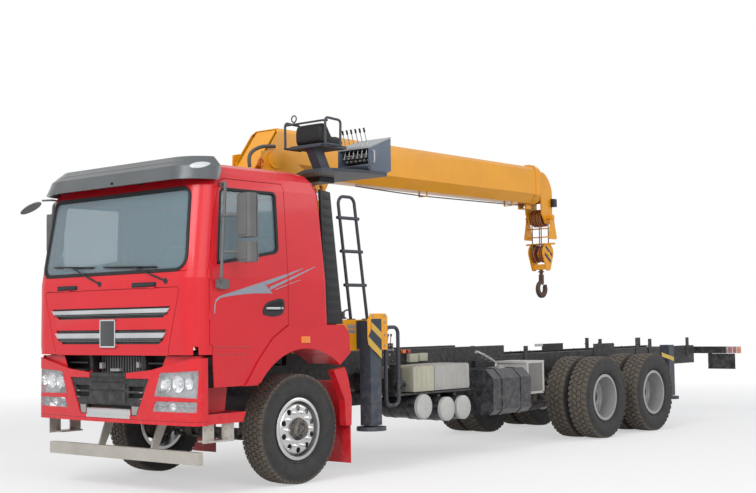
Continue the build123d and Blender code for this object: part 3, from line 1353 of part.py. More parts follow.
def cab_interior():
    floor = CAB_FLOOR + CAB_FLOOR_T + SEAT_GAP
    dash_outline = [
        (1340, floor), (1340, 2000), (1200, 2060), (950, 2020), (900, 1900), (1100, 1800), (1150, floor),
    ]
    dash = side_prism(dash_outline, -1060, 1060)
    wheel_centre = Plane(origin=(820, 600, 2080), z_dir=(-0.5, 0, 1))
    rim = wheel_centre * Torus(220, 16)
    column = rod((960, 600, 1880), (825, 600, 2075), 26)
    spokes = []
    for turn in (0, 120, 240):
        spokes.append(wheel_centre * (Rot(0, 0, turn) * (Pos(110, 0, 0) * Box(220, 30, 14))))
    seats = []
    seat_outline = [(520, floor), (560, 1800), (60, 1780), (-60, 2420), (-170, 2420), (-60, floor)]
    for y in (600, -600):
        seats.append(side_prism(seat_outline, y - 250, y + 250))
    parts = [dash, column, rim] + spokes + seats
    return Part() + parts


def save(name, shape):
    """Write one piece with the origin under the middle of the vehicle."""
    export_step(Pos(ORIGIN_SHIFT, 0, 0) * shape, "parts/" + name + ".step")


os.makedirs("parts", exist_ok=True)

save("chassis_frame", chassis_frame())
save("engine", engine())
save("front_axle", front_axle())
save("rear_axles", rear_axles())
save("bumper", bumper())
save("bumper_grille", bumper_grille())
save("lamps", lamps())
save("front_underrun", front_underrun())
save("step_boxes", both(step_box()))
save("front_mudguards", both(front_mudguard()))
save("side_tanks", side_tanks())
save("side_equipment", side_equipment())
save("tail_bar", tail_bar())
save("crane_base", crane_base())
save("ladder", ladder())
save("rear_outriggers", rear_outriggers())
save("knuckle_left", knuckle())
save("knuckle_right", right(knuckle()))
save("tie_rod", tie_rod())

front_y = FRONT_TRACK / 2
front_wheel_place = Pos(0, front_y, WHEEL_Z)
for side_name, turn_side in (("left", False), ("right", True)):
    tyre_piece = front_wheel_place * tyre_ring(0)
    rim_piece = front_wheel_place * front_rim()
    save("front_tyre_" + side_name, right(tyre_piece) if turn_side else tyre_piece)
    save("front_rim_" + side_name, right(rim_piece) if turn_side else rim_piece)
    for number, axle_x in enumerate(REAR_AXLES_X, start=1):
        place = Pos(axle_x, REAR_TRACK / 2, WHEEL_Z)
        tyres = place * (Part() + [tyre_ring(-TWIN_SPACING / 2), tyre_ring(TWIN_SPACING / 2)])
        rims = place * rear_rim()
        label = "_" + str(number) + "_" + side_name
        save("rear_tyres" + label, right(tyres) if turn_side else tyres)
        save("rear_rims" + label, right(rims) if turn_side else rims)

front_leg_y = BOX_HALF_L + MOVING_GAP + LEG_Y_W / 2
save("outrigger_beam_left", outrigger_beam(LEFT_CHANNEL_X, LEFT_LEG_X, -1250, -925))
save("outrigger_beam_right", right(outrigger_beam(BOX_FRONT_X, RIGHT_LEG_X, -1035, -710)))
save("outrigger_jack_left", jack(LEFT_LEG_X, front_leg_y, FRONT_FOOT_Z, 1560))
save("outrigger_jack_right", jack(RIGHT_LEG_X, -front_leg_y, FRONT_FOOT_Z, 1560))
rear_leg_y = REAR_LEG_Y - LEG_Y_W / 2
save("rear_jack_left", jack(REAR_LEG_X, rear_leg_y, REAR_FOOT_Z, 1150))
save("rear_jack_right", jack(REAR_LEG_X, -rear_leg_y, REAR_FOOT_Z, 1150))

save("slew_column", slew_column())
save("operator_station", operator_station())
save("seat_cushion", seat_cushion())
save("control_console", control_console())
save("boom_base", boom_base())
save("boom_section_2", boom_section(1))
save("boom_section_3", boom_section(2))
save("boom_section_4", boom_head())
save("luff_cylinder", luff_cylinder())
save("luff_rod", luff_rod())
save("hook_block", hook_block())
save("hook", hook())

save("cab_shell", cab_shell())
save("cab_visor", cab_visor())
save("windscreen", windscreen())
save("cab_interior", cab_interior())
save("grille_lid", grille_lid())
door = cab_door()
glass = door_glass()
mirror_set = mirrors()
save("door_left", door)
save("door_right", right(door))
save("door_glass_left", glass)
save("door_glass_right", right(glass))
save("mirrors_left", mirror_set)
save("mirrors_right", right(mirror_set))
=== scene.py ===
import json
import math

import bmesh
import bpy
from mathutils import Matrix, Vector
from mathutils.bvhtree import BVHTree


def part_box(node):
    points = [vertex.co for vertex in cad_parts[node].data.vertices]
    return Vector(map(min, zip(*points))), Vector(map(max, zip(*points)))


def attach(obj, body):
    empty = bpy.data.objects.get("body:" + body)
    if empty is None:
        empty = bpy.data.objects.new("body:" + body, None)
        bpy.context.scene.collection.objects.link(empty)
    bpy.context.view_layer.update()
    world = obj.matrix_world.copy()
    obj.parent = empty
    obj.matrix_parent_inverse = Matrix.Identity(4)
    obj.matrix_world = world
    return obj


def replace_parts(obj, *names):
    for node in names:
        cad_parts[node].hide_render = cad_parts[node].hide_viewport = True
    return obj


# Looks of the truck-mounted crane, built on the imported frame. Metres, x forward, y left, z up.
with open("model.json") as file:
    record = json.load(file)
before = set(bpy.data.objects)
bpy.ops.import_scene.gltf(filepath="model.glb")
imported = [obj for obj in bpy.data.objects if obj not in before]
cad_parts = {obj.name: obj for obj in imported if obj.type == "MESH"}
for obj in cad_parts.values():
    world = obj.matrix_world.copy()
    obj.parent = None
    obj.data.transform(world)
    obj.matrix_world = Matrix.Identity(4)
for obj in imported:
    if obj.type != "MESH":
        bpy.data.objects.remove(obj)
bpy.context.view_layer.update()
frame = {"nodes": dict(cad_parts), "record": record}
NODES = frame["nodes"]

# Places worked out from the frame
FRONT_AXLE = sum(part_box("front_tyre_left"), Vector()) / 2
REAR_AXLES = [sum(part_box("rear_tyres_%d_left" % n), Vector()) / 2 for n in (1, 2)]
AXLE_X, WHEEL_Z = FRONT_AXLE.x, FRONT_AXLE.z

SIDES = (("left", 1), ("right", -1))
AHEAD, LEFT, UP = Vector((1, 0, 0)), Vector((0, 1, 0)), Vector((0, 0, 1))
# A lathed shape is closed in its middle down to this radius
CORE_R = 0.0004


# Mesh helpers: a part is a pair of lists, its points and its faces

def mesh_object(name, verts, faces):
    mesh = bpy.data.meshes.new(name)
    mesh.from_pydata([tuple(v) for v in verts], [], faces)
    mesh.validate()
    obj = bpy.data.objects.new(name, mesh)
    bpy.context.scene.collection.objects.link(obj)
    return obj


def sharp_by_angle(obj, degrees):
    """Smooth shading with creases where faces meet at more than an angle."""
    mesh = obj.data
    mesh.polygons.foreach_set("use_smooth", [True] * len(mesh.polygons))
    bm = bmesh.new()
    bm.from_mesh(mesh)
    bmesh.ops.recalc_face_normals(bm, faces=bm.faces[:])
    limit = math.radians(degrees)
    for edge in bm.edges:
        faces = edge.link_faces
        edge.smooth = len(faces) == 2 and faces[0].normal.angle(faces[1].normal, 0.0) < limit
    bm.to_mesh(mesh)
    bm.free()


def joined_parts(parts):
    verts, faces = [], []
    for part_verts, part_faces in parts:
        start = len(verts)
        verts += [tuple(v) for v in part_verts]
        faces += [tuple(i + start for i in face) for face in part_faces]
    return verts, faces


def merged(name, parts, body, material, slot=None, degrees=32):
    """One piece from several parts, with its material, on the body that it rides on."""
    obj = mesh_object(name, *joined_parts(parts))
    sharp_by_angle(obj, degrees)
    obj.data.materials.append(M[material])
    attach(obj, body)
    slot or material
    return obj


def moved(part, shift):
    verts, faces = part
    offset = Vector(shift)
    return [Vector(v) + offset for v in verts], faces


def mirrored(part):
    """The same shape on the other side, with its faces turned outwards."""
    verts, faces = part
    flipped = [(v[0], -v[1], v[2]) for v in verts]
    return flipped, [tuple(reversed(face)) for face in faces]


def on_side(part, sign):
    return part if sign > 0 else mirrored(part)


def both_sides(parts):
    return parts + [mirrored(part) for part in parts]


def stood_at(part, centre, axis):
    """A part drawn about +y, carried to a centre with +y turned to an axis."""
    verts, faces = part
    turn = LEFT.rotation_difference(Vector(axis).normalized()).to_matrix().to_4x4()
    matrix = Matrix.Translation(Vector(centre)) @ turn
    return [matrix @ Vector(v) for v in verts], faces


def circle(count, phase=0.0):
    """Cosines and sines at even steps round a full turn, the phase in steps."""
    turns = [2 * math.pi * (k + phase) / count for k in range(count)]
    return [(math.cos(turn), math.sin(turn)) for turn in turns]


def ring_faces(rows, size, joined=False, capped=True):
    """Faces between rows of points that are each a closed ring."""
    faces = []
    for row in range(rows if joined else rows - 1):
        a, b = row * size, (row + 1) % rows * size
        faces += [(a + k, a + (k + 1) % size, b + (k + 1) % size, b + k) for k in range(size)]
    if capped and not joined:
        faces += [tuple(reversed(range(size))), tuple(range((rows - 1) * size, rows * size))]
    return faces


def lathe(profile, segments):
    """Closed ring about Y from (y, radius) points."""
    verts = [(r * c, y, r * s) for c, s in circle(segments) for y, r in profile]
    return verts, ring_faces(segments, len(profile), joined=True)


def bar(points, radius, sides=10):
    """Round bar that follows points, its ring turned along the path."""
    pts = [Vector(p) for p in points]
    verts, normal = [], None
    for i, point in enumerate(pts):
        ahead = pts[min(i + 1, len(pts) - 1)] - point
        behind = point - pts[max(i - 1, 0)]
        along = (ahead.normalized() + behind.normalized()).normalized()
        if normal is None:
            normal = along.orthogonal().normalized()
        normal = (normal - along * normal.dot(along)).normalized()
        side = along.cross(normal)
        verts += [point + (normal * c + side * s) * radius for c, s in circle(sides)]
    return verts, ring_faces(len(pts), sides)


def corner_arc(before, corner, after, radius, most_share, steps=6):
    """Rounded corner that takes no more than a share of either run."""
    a, b = before - corner, after - corner
    reach = min(radius, a.length * most_share, b.length * most_share)
    start, end = corner + a.normalized() * reach, corner + b.normalized() * reach
    shares = [k / steps for k in range(steps + 1)]
    return [start * (1 - t) ** 2 + corner * 2 * t * (1 - t) + end * t ** 2 for t in shares]


def rounded_path(points, radius):
    """Points of a polyline with its corners rounded."""
    pts = [Vector(p) for p in points]
    path = [pts[0]]
    for before, corner, after in zip(pts, pts[1:], pts[2:]):
        path += corner_arc(before, corner, after, radius, 0.48)
    return path + [pts[-1]]


def rounded_outline(points, corners, steps=6):
    """Closed outline with its corners rounded, by one radius or one for each."""
    pts = [Vector(p) for p in points]
    if not isinstance(corners, list):
        corners = [corners] * len(pts)
    out = []
    for i, here in enumerate(pts):
        out += corner_arc(pts[i - 1], here, pts[(i + 1) % len(pts)], corners[i], 0.45, steps)
    return out


def inset_outline(points, gap):
    """Closed outline moved in by a gap."""
    pts = [Vector(p) for p in points]
    area = sum(a.x * b.y - b.x * a.y for a, b in zip(pts, pts[1:] + pts[:1]))
    turn = 1 if area > 0 else -1
    out = []
    for i, here in enumerate(pts):
        first = (here - pts[i - 1]).normalized()
        second = (pts[(i + 1) % len(pts)] - here).normalized()
        n1, n2 = Vector((-first.y, first.x)) * turn, Vector((-second.y, second.x)) * turn
        out.append(here + (n1 + n2) / (1 + n1.dot(n2)) * gap)
    return out


def bevelled(bm, width):
    """Bevel all edges and give the mesh as a part."""
    if width:
        bmesh.ops.bevel(bm, geom=bm.edges[:], offset=width, segments=2, affect="EDGES", profile=0.7)
    bm.verts.index_update()
    part = [v.co.copy() for v in bm.verts], [tuple(v.index for v in f.verts) for f in bm.faces]
    bm.free()
    return part


def box_part(low, high, bevel=0.0):
    """Box with bevelled edges."""
    bm = bmesh.new()
    bmesh.ops.create_cube(bm, size=1.0)
    size = [max(b - a, 1e-5) for a, b in zip(low, high)]
    bmesh.ops.scale(bm, vec=size, verts=bm.verts)
    bmesh.ops.translate(bm, vec=[(a + b) / 2 for a, b in zip(low, high)], verts=bm.verts)
    return bevelled(bm, min(bevel, min(size) * 0.45))


def prism(outline, axis, low, high, bevel=0.0):
    """Solid from an outline of two coordinates along an axis: x takes (y, z), y takes (x, z)."""
    bm = bmesh.new()
    place = {"x": lambda a, b, c: (c, a, b), "y": lambda a, b, c: (a, c, b)}[axis]
    face = bm.faces.new([bm.verts.new(place(a, b, low)) for a, b in outline])
    pushed = bmesh.ops.extrude_face_region(bm, geom=[face])
    new_verts = [v for v in pushed["geom"] if isinstance(v, bmesh.types.BMVert)]
    bmesh.ops.translate(bm, vec=place(0, 0, high - low), verts=new_verts)
    bmesh.ops.recalc_face_normals(bm, faces=bm.faces[:])
    return bevelled(bm, bevel)


def disc(centre, axis, radius, thick, segments=20, bevel=0.15):
    """Short round boss with a softened outer rim."""
    edge = min(radius, thick) * bevel
    outline = [(0, radius), (thick - edge, radius), (thick, radius - edge), (thick, CORE_R), (0, CORE_R)]
    return stood_at(lathe(outline, segments), centre, axis)


def bolt(centre, axis, radius, height):
    """Hexagon head on a washer."""
    washer = height * 0.25
    return [
        disc(centre, axis, radius * 1.35, washer, 14, 0.2),
        disc(Vector(centre) + Vector(axis).normalized() * washer, axis, radius, height - washer, 6, 0.2),
    ]


# Shapes placed from the front axle's line, x forwards of it

def at(x, y, z):
    return Vector((AXLE_X + x, y, z))


def boxes(*corners, bevel=0.0):
    """Bevelled boxes from pairs of a lowest and a highest corner."""
    return [box_part(at(*low), at(*high), bevel) for low, high in corners]


def side_part(outline, y_low, y_high, bevel=0.0):
    """Prism across the vehicle with an (x, z) outline."""
    return prism([(AXLE_X + x, z) for x, z in outline], "y", y_low, y_high, bevel)


def front_part(outline, x_low, x_high, bevel=0.0):
    """Prism along the vehicle with a (y, z) outline."""
    return prism(outline, "x", AXLE_X + x_low, AXLE_X + x_high, bevel)


def pipe(points, radius, bend=0.05, sides=12):
    """Bent bar through points."""
    return bar(rounded_path([at(*p) for p in points], bend), radius, sides)


# Thin pieces laid on the frame's skin

# Where a search for the cab's skin starts when no ray meets it
NOSE_X, DOOR_Y = 1.42, 1.24
# Rays come from well outside the vehicle
RAY_X, RAY_Y = 8.0, 3.0


def skin_tree(node):
    """Search tree of a node's faces."""
    obj = NODES[node]
    verts = [obj.matrix_world @ v.co for v in obj.data.vertices]
    return BVHTree.FromPolygons(verts, [tuple(p.vertices) for p in obj.data.polygons])


def dropped_on(node, side):
    """Function that takes a point of the front or left view to the skin and its outward normal."""
    tree = skin_tree(node)

    def hit(a, b):
        if side == "front":
            start, aim, near = Vector((RAY_X, a, b)), -AHEAD, at(NOSE_X, a, b)
        else:
            start, aim, near = at(a, RAY_Y, b), -LEFT, at(a, DOOR_Y, b)
        spot, normal, _, _ = tree.ray_cast(start, aim)
        if spot is None:
            spot, normal, _, _ = tree.find_nearest(near)
        if normal.dot(aim) > 0:
            normal = -normal
        return spot, normal
    return hit


def held_at(hit, height):
    """The same skin carried up or down from one height."""
    def lifted(a, b):
        spot, normal = hit(a, height)
        return Vector((spot.x, spot.y, b)), normal
    return lifted


def resampled(points, count):
    """Evenly spaced points along a polyline."""
    pts = [Vector(p) for p in points]
    reach = [0.0]
    for a, b in zip(pts, pts[1:]):
        reach.append(reach[-1] + (b - a).length)
    out, k = [], 0
    for i in range(count + 1):
        want = reach[-1] * i / count
        while k < len(reach) - 2 and reach[k + 1] < want:
            k += 1
        span = reach[k + 1] - reach[k]
        out.append(pts[k].lerp(pts[k + 1], (want - reach[k]) / span if span else 0.0))
    return out


def laid_sheet(hit, low_edge, high_edge, columns, rows, lift, depth=0.003):
    """Thin closed sheet between two edges that are given in the view's plane."""
    lows, highs = resampled(low_edge, columns), resampled(high_edge, columns)
    spots = [hit(*low.lerp(high, j / rows)) for j in range(rows + 1) for low, high in zip(lows, highs)]
    outer = [spot + normal * lift for spot, normal in spots]
    inner = [spot - normal * depth for spot, normal in spots]
    total, width = len(outer), columns + 1
    faces = []
    for j in range(rows):
        for a in range(j * width, j * width + columns):
            quad = (a, a + 1, a + width + 1, a + width)
            faces += [quad, tuple(total + k for k in reversed(quad))]
    rim = list(range(width)) + [j * width + columns for j in range(1, rows + 1)]
    rim += [rows * width + i for i in range(columns - 1, -1, -1)]
    rim += [j * width for j in range(rows - 1, 0, -1)]
    faces += [(a, total + a, total + b, b) for a, b in zip(rim, rim[1:] + rim[:1])]
    return outer + inner, faces


def laid_fan(hit, points, lift, depth):
    """Thin closed patch, fanned from its first point."""
    spots = [hit(*p) for p in points]
    outer = [spot + normal * lift for spot, normal in spots]
    inner = [spot + normal * (lift - depth) for spot, normal in spots]
    count = len(points)
    faces = [(0, k, k + 1) for k in range(1, count - 1)]
    faces += [(count, count + k + 1, count + k) for k in range(1, count - 1)]
    faces += [(k, (k + 1) % count, count + (k + 1) % count, count + k) for k in range(count)]
    return outer + inner, faces


def laid_dome(hit, centre, half_a, half_b, height, rings=4, sides=28, depth=0.004):
    """Low domed lens on the skin, its last ring sunk by a depth."""
    spot, normal = hit(*centre)
    verts = [spot + normal * height]
    for ring in range(1, rings + 2):
        share = min(ring / rings, 1.0)
        rise = height * math.sqrt(1 - share ** 2) ** 0.8 if ring <= rings else -depth
        for c, s in circle(sides):
            spot, normal = hit(centre[0] + half_a * share * c, centre[1] + half_b * share * s)
            verts.append(spot + normal * rise)
    faces = [(0, 1 + k, 1 + (k + 1) % sides) for k in range(sides)]
    faces += [tuple(1 + i for i in face) for face in ring_faces(rings + 1, sides, capped=False)]
    faces.append(tuple(range(1 + rings * sides, 1 + (rings + 1) * sides)))
    return verts, faces


def laid_strip(hit, path, width, low, high, closed=True, spacing=0.06):
    """Rubber, metal or seam strip along a path on the skin."""
    pts = [Vector(p) for p in path]
    fine = []
    for a, b in zip(pts, pts[1:] + pts[:1] if closed else pts[1:]):
        count = max(1, round((b - a).length / spacing))
        fine += [a.lerp(b, k / count) for k in range(count)]
    if not closed:
        fine.append(pts[-1])
    laid = [hit(*p) for p in fine]
    shoulder = high * 0.55
    section = [(-0.5, low), (-0.5, shoulder), (-0.36, high), (0.36, high), (0.5, shoulder), (0.5, low)]
    count = len(fine)
    verts = []
    for i, (spot, normal) in enumerate(laid):
        ahead = laid[(i + 1) % count][0] if closed else laid[min(i + 1, count - 1)][0]
        behind = laid[i - 1][0] if closed else laid[max(i - 1, 0)][0]
        along = (ahead - behind).normalized()
        across = along.cross(normal).normalized()
        upward = across.cross(along)
        verts += [spot + across * (a * width) + upward * b for a, b in section]
    return verts, ring_faces(count, len(section), joined=closed)


# Materials

DUST_TOP, DUST_FULL = 1.5, 0.2
DUST_COLOUR = (0.34, 0.30, 0.25)


def new_material(name):
    mat = bpy.data.materials.new(name)
    mat.use_nodes = True
    tree = mat.node_tree
    return mat, tree, tree.nodes["Principled BSDF"]


def put(tree, value, socket):
    """Link a socket to an input, or set its number or colour."""
    if isinstance(value, bpy.types.NodeSocket):
        tree.links.new(value, socket)
    else:
        socket.default_value = value


def add(tree, kind, **values):
    """New node with its inputs or its settings."""
    node = tree.nodes.new(kind)
    for key, value in values.items():
        if key in node.inputs:
            put(tree, value, node.inputs[key])
        else:
            setattr(node, key, value)
    return node


def maths(tree, operation, first, second):
    node = add(tree, "ShaderNodeMath", operation=operation)
    put(tree, first, node.inputs[0])
    put(tree, second, node.inputs[1])
    return node.outputs[0]


def object_coords(tree):
    return add(tree, "ShaderNodeTexCoord").outputs["Object"]


def position(tree):
    """Sockets X, Y and Z of a point's place."""
    return add(tree, "ShaderNodeSeparateXYZ", Vector=object_coords(tree)).outputs


def mix_colour(tree, factor, first, second):
    node = add(tree, "ShaderNodeMix", data_type="RGBA")
    tree.links.new(factor, node.inputs["Factor"])
    for socket, value in ((node.inputs[6], first), (node.inputs[7], second)):
        put(tree, value + (1.0,) if isinstance(value, tuple) else value, socket)
    return node.outputs[2]


def mix_shader(tree, factor, first, second):
    mix = add(tree, "ShaderNodeMixShader")
    for socket, value in zip(mix.inputs, (factor, first, second)):
        tree.links.new(value, socket)
    return mix.outputs[0]


def noise(tree, scale, detail=4.0, rough=0.55):
    node = add(tree, "ShaderNodeTexNoise", Vector=object_coords(tree), Scale=scale, Detail=detail,
               Roughness=rough)
    return node.outputs["Fac"]


def ramp(tree, value, low=0.0, high=1.0, to_low=0.0, to_high=1.0):
    """A value's share between two bounds, carried to two others."""
    bounds = {"Value": value, "From Min": low, "From Max": high, "To Min": to_low, "To Max": to_high}
    return add(tree, "ShaderNodeMapRange", **bounds).outputs["Result"]


def bump(tree, shader, height, strength, distance):
    node = add(tree, "ShaderNodeBump", Strength=strength, Distance=distance, Height=height)
    tree.links.new(node.outputs["Normal"], shader.inputs["Normal"])


def worn(name, colour, rough=0.4, metal=0.0, coat=0.0, dust=0.12, grain=900.0, grain_strength=0.05,
         patch=0.06):
    """Painted or moulded surface: faint patches, dust gathered low down and fine grain."""
    mat, tree, shader = new_material(name)
    shade = tuple(max(0.0, c * (1 - patch * 3)) for c in colour)
    base = mix_colour(tree, ramp(tree, noise(tree, 2.3), 0.35, 0.7), colour, shade)
    low_down = ramp(tree, position(tree)["Z"], DUST_TOP, DUST_FULL)
    speck = ramp(tree, noise(tree, 14.0, 8.0, 0.7), 0.42, 0.72)
    share = maths(tree, "MULTIPLY", maths(tree, "MULTIPLY", low_down, speck), dust * 3)
    tree.links.new(mix_colour(tree, share, base, DUST_COLOUR), shader.inputs["Base Color"])
    uneven = ramp(tree, noise(tree, 7.0, 6.0), to_low=max(0.03, rough - 0.07), to_high=min(1.0, rough + 0.10))
    tree.links.new(uneven, shader.inputs["Roughness"])
    for key, value in (("Metallic", metal), ("Specular IOR Level", 0.28), ("Coat Weight", coat),
                       ("Coat Roughness", 0.06)):
        shader.inputs[key].default_value = value
    bump(tree, shader, noise(tree, grain, 2.0), grain_strength, 0.001)
    return mat


def within(tree, value, low, high):
    """Mask of 1 where a value lies between two bounds."""
    above, below = maths(tree, "GREATER_THAN", value, low), maths(tree, "LESS_THAN", value, high)
    return maths(tree, "MULTIPLY", above, below)


# Bare tread in the bumper's middle, and the dark seams of its lower lip
TREAD_HALF, TREAD_LOW, TREAD_HIGH, TREAD_FRONT = 0.33, 0.706, 0.786, 1.36
LIP_LOW, LIP_SEAM, LIP_HALF, SEAM_HALF = 0.60, 0.7005, 0.340, 0.002
TREAD_SILVER, SEAM_RED = (0.42, 0.43, 0.43), (0.12, 0.004, 0.006)


def bumper_paint(mat):
    """Cab paint with a bare silver tread in the middle and dark seams round the lower lip."""
    tree = mat.node_tree
    base = tree.nodes["Principled BSDF"].inputs["Base Color"]
    colour = base.links[0].from_socket
    place = position(tree)
    nose = within(tree, place["X"], AXLE_X + TREAD_FRONT, RAY_X)
    middle = within(tree, place["Y"], -TREAD_HALF, TREAD_HALF)
    tread = maths(tree, "MULTIPLY", within(tree, place["Z"], TREAD_LOW, TREAD_HIGH), middle)
    lip = within(tree, place["Z"], LIP_LOW, LIP_SEAM - 0.0015)
    masks = [(maths(tree, "MULTIPLY", tread, nose), TREAD_SILVER),
             (within(tree, place["Z"], LIP_SEAM - SEAM_HALF, LIP_SEAM + SEAM_HALF), SEAM_RED)]
    for y in (LIP_HALF, -LIP_HALF):
        upright = within(tree, place["Y"], y - 0.0015, y + 0.0015)
        masks.append((maths(tree, "MULTIPLY", lip, upright), SEAM_RED))
    for mask, shade in masks:
        colour = mix_colour(tree, mask, colour, shade)
    tree.links.new(colour, base)
    return mat


def glass(name, tint, alpha, rough=0.02):
    mat, tree, shader = new_material(name)
    tree.links.new(ramp(tree, noise(tree, 3.0), to_low=rough, to_high=rough + 0.03),
                   shader.inputs["Roughness"])
    for key, value in (("Base Color", tint + (1.0,)), ("Alpha", alpha), ("IOR", 1.5),
                       ("Specular IOR Level", 0.8)):
        shader.inputs[key].default_value = value
    return mat


def tyre_rubber():
    """Dusty rubber: brown on the tread, darker on the side walls."""
    mat, tree, shader = new_material("tyre_rubber")
    place = position(tree)
    flat = add(tree, "ShaderNodeCombineXYZ", X=place["X"], Z=place["Z"])
    length = add(tree, "ShaderNodeVectorMath", operation="LENGTH")
    tree.links.new(flat.outputs[0], length.inputs[0])
    tread = ramp(tree, length.outputs["Value"], 0.50, 0.535)
    wall_dust = ramp(tree, noise(tree, 9.0, 8.0, 0.7), 0.3, 0.9)
    wall = mix_colour(tree, wall_dust, (0.018, 0.018, 0.019), (0.052, 0.049, 0.045))
    tread_dust = ramp(tree, noise(tree, 22.0, 8.0, 0.7), 0.25, 0.8)
    top = mix_colour(tree, tread_dust, (0.06, 0.052, 0.043), (0.16, 0.135, 0.105))
    tree.links.new(mix_colour(tree, tread, wall, top), shader.inputs["Base Color"])
    shader.inputs["Roughness"].default_value = 0.82
    bump(tree, shader, noise(tree, 260.0, 6.0), 0.25, 0.002)
    return mat


CAB_PAINT = ((0.56, 0.010, 0.018), 0.34, dict(coat=0.22, dust=0.05, grain_strength=0.02, patch=0.02))
CLEAN = dict(dust=0.0)
SMOOTH = dict(dust=0.0, grain_strength=0.02)
POLISHED = dict(dust=0.0, grain_strength=0.01)
# Colour, roughness and what departs from plain paint
PAINTS = {
    "cab_red": CAB_PAINT,
    "bumper_red": CAB_PAINT,
    "frame_black": ((0.022, 0.024, 0.028), 0.45, dict(dust=0.2)),
    "engine_grey": ((0.13, 0.13, 0.14), 0.6, dict(metal=0.3, grain=300.0, grain_strength=0.2)),
    "axle_black": ((0.025, 0.025, 0.027), 0.6, dict(dust=0.3, grain=350.0, grain_strength=0.25)),
    "trim_black": ((0.022, 0.022, 0.025), 0.5, dict(grain=1400.0, grain_strength=0.2)),
    "silver_paint": ((0.46, 0.44, 0.39), 0.42, dict(metal=0.35, dust=0.1)),
    "tank_black": ((0.018, 0.021, 0.03), 0.35, dict(coat=0.2, dust=0.15)),
    "equipment_grey": ((0.42, 0.41, 0.39), 0.55, dict(dust=0.2)),
    "crane_yellow": ((0.76, 0.32, 0.008), 0.36, dict(coat=0.2, dust=0.05, patch=0.03)),
    "leg_slate": ((0.040, 0.050, 0.070), 0.42, {}),
    "station_slate": ((0.045, 0.052, 0.064), 0.45, dict(dust=0.1)),
    "console_slate": ((0.10, 0.125, 0.165), 0.42, dict(dust=0.1)),
    "seat_black": ((0.012, 0.012, 0.013), 0.55, dict(grain=1200.0, grain_strength=0.35)),
    "rod_chrome": ((0.72, 0.73, 0.75), 0.12, dict(metal=1.0, **POLISHED)),
    "rim_front": ((0.60, 0.60, 0.60), 0.28, dict(metal=0.9, dust=0.1)),
    "rim_rear": ((0.40, 0.405, 0.41), 0.42, dict(metal=0.15, dust=0.1)),
    "hook_steel": ((0.10, 0.062, 0.045), 0.62, dict(metal=0.4, grain=240.0, grain_strength=0.3)),
    "visor_grey": ((0.105, 0.115, 0.12), 0.30, dict(metal=0.55, coat=0.4, dust=0.0)),
    "interior": ((0.035, 0.036, 0.038), 0.75, dict(grain=800.0, grain_strength=0.3, dust=0.0)),
    "mirror_grey": ((0.12, 0.12, 0.118), 0.45, dict(grain=1300.0, grain_strength=0.15, dust=0.0)),
    "rubber": ((0.013, 0.013, 0.014), 0.55, dict(grain=1100.0, grain_strength=0.2, dust=0.03)),
    "deep_black": ((0.006, 0.006, 0.007), 0.6, CLEAN),
    "guide_black": ((0.016, 0.017, 0.019), 0.42, dict(grain_strength=0.2, dust=0.02)),
    "mesh_grey": ((0.16, 0.165, 0.17), 0.45, dict(metal=0.4, dust=0.0)),
    "bright_silver": ((0.52, 0.53, 0.54), 0.30, dict(metal=0.55, **SMOOTH)),
    "plate_grey": ((0.035, 0.037, 0.040), 0.22, dict(coat=0.5, **SMOOTH)),
    "stripe_blue": ((0.235, 0.26, 0.31), 0.30, dict(coat=0.6, patch=0.02, **SMOOTH)),
    # Cab red darkened as painted shade, for the door creases
    "crease_shade_red": ((0.26, 0.006, 0.010), 0.30, dict(coat=0.6, **SMOOTH)),
    "amber": ((0.80, 0.20, 0.01), 0.22, dict(coat=0.8, **SMOOTH)),
    "lens_red": ((0.42, 0.008, 0.008), 0.20, dict(coat=0.8, **SMOOTH)),
    "lens_white": ((0.52, 0.54, 0.55), 0.15, dict(coat=0.9, **SMOOTH)),
    "mirror_face": ((0.62, 0.66, 0.70), 0.05, dict(metal=1.0, **POLISHED)),
    "reflector": ((0.80, 0.81, 0.82), 0.12, dict(metal=0.9, **POLISHED)),
    "pale_grey": ((0.50, 0.50, 0.48), 0.48, dict(dust=0.15)),
    "warm_grey": ((0.30, 0.295, 0.28), 0.55, dict(dust=0.2)),
    "cab_lining": ((0.24, 0.24, 0.235), 0.85, dict(grain=500.0, grain_strength=0.3, dust=0.0)),
    "seat_cloth": ((0.040, 0.042, 0.048), 0.9, dict(grain=420.0, grain_strength=0.5, dust=0.0)),
    "steel": ((0.36, 0.36, 0.36), 0.38, dict(metal=0.7, dust=0.1)),
    "sheave_red": ((0.17, 0.035, 0.022), 0.55, dict(grain=300.0, grain_strength=0.2, dust=0.0)),
    "rope": ((0.12, 0.115, 0.105), 0.55, dict(metal=0.5, grain=260.0, grain_strength=0.6, dust=0.0)),
    "tip_orange": ((0.72, 0.13, 0.01), 0.4, CLEAN),
    "stripe_slate": ((0.030, 0.042, 0.062), 0.40, CLEAN),
    "pale_cover": ((0.50, 0.49, 0.38), 0.55, dict(dust=0.15)),
    "lid_grey": ((0.33, 0.35, 0.36), 0.42, dict(dust=0.05)),
    "hose_grey": ((0.075, 0.08, 0.082), 0.55, dict(grain=500.0, grain_strength=0.3, dust=0.0)),
    "steel_dark": ((0.12, 0.12, 0.12), 0.45, dict(metal=0.5, dust=0.1)),
    "band_yellow": ((0.62, 0.40, 0.07), 0.40, dict(dust=0.03)),
}
M = {name: worn(name, colour, rough, **extras) for name, (colour, rough, extras) in PAINTS.items()}
M["lamp_clear"] = glass("lamp_clear", (0.80, 0.83, 0.85), 0.22)
M["glass"] = glass("glass", (0.20, 0.29, 0.33), 0.42)
M["tyre"] = tyre_rubber()
bumper_paint(M["bumper_red"])


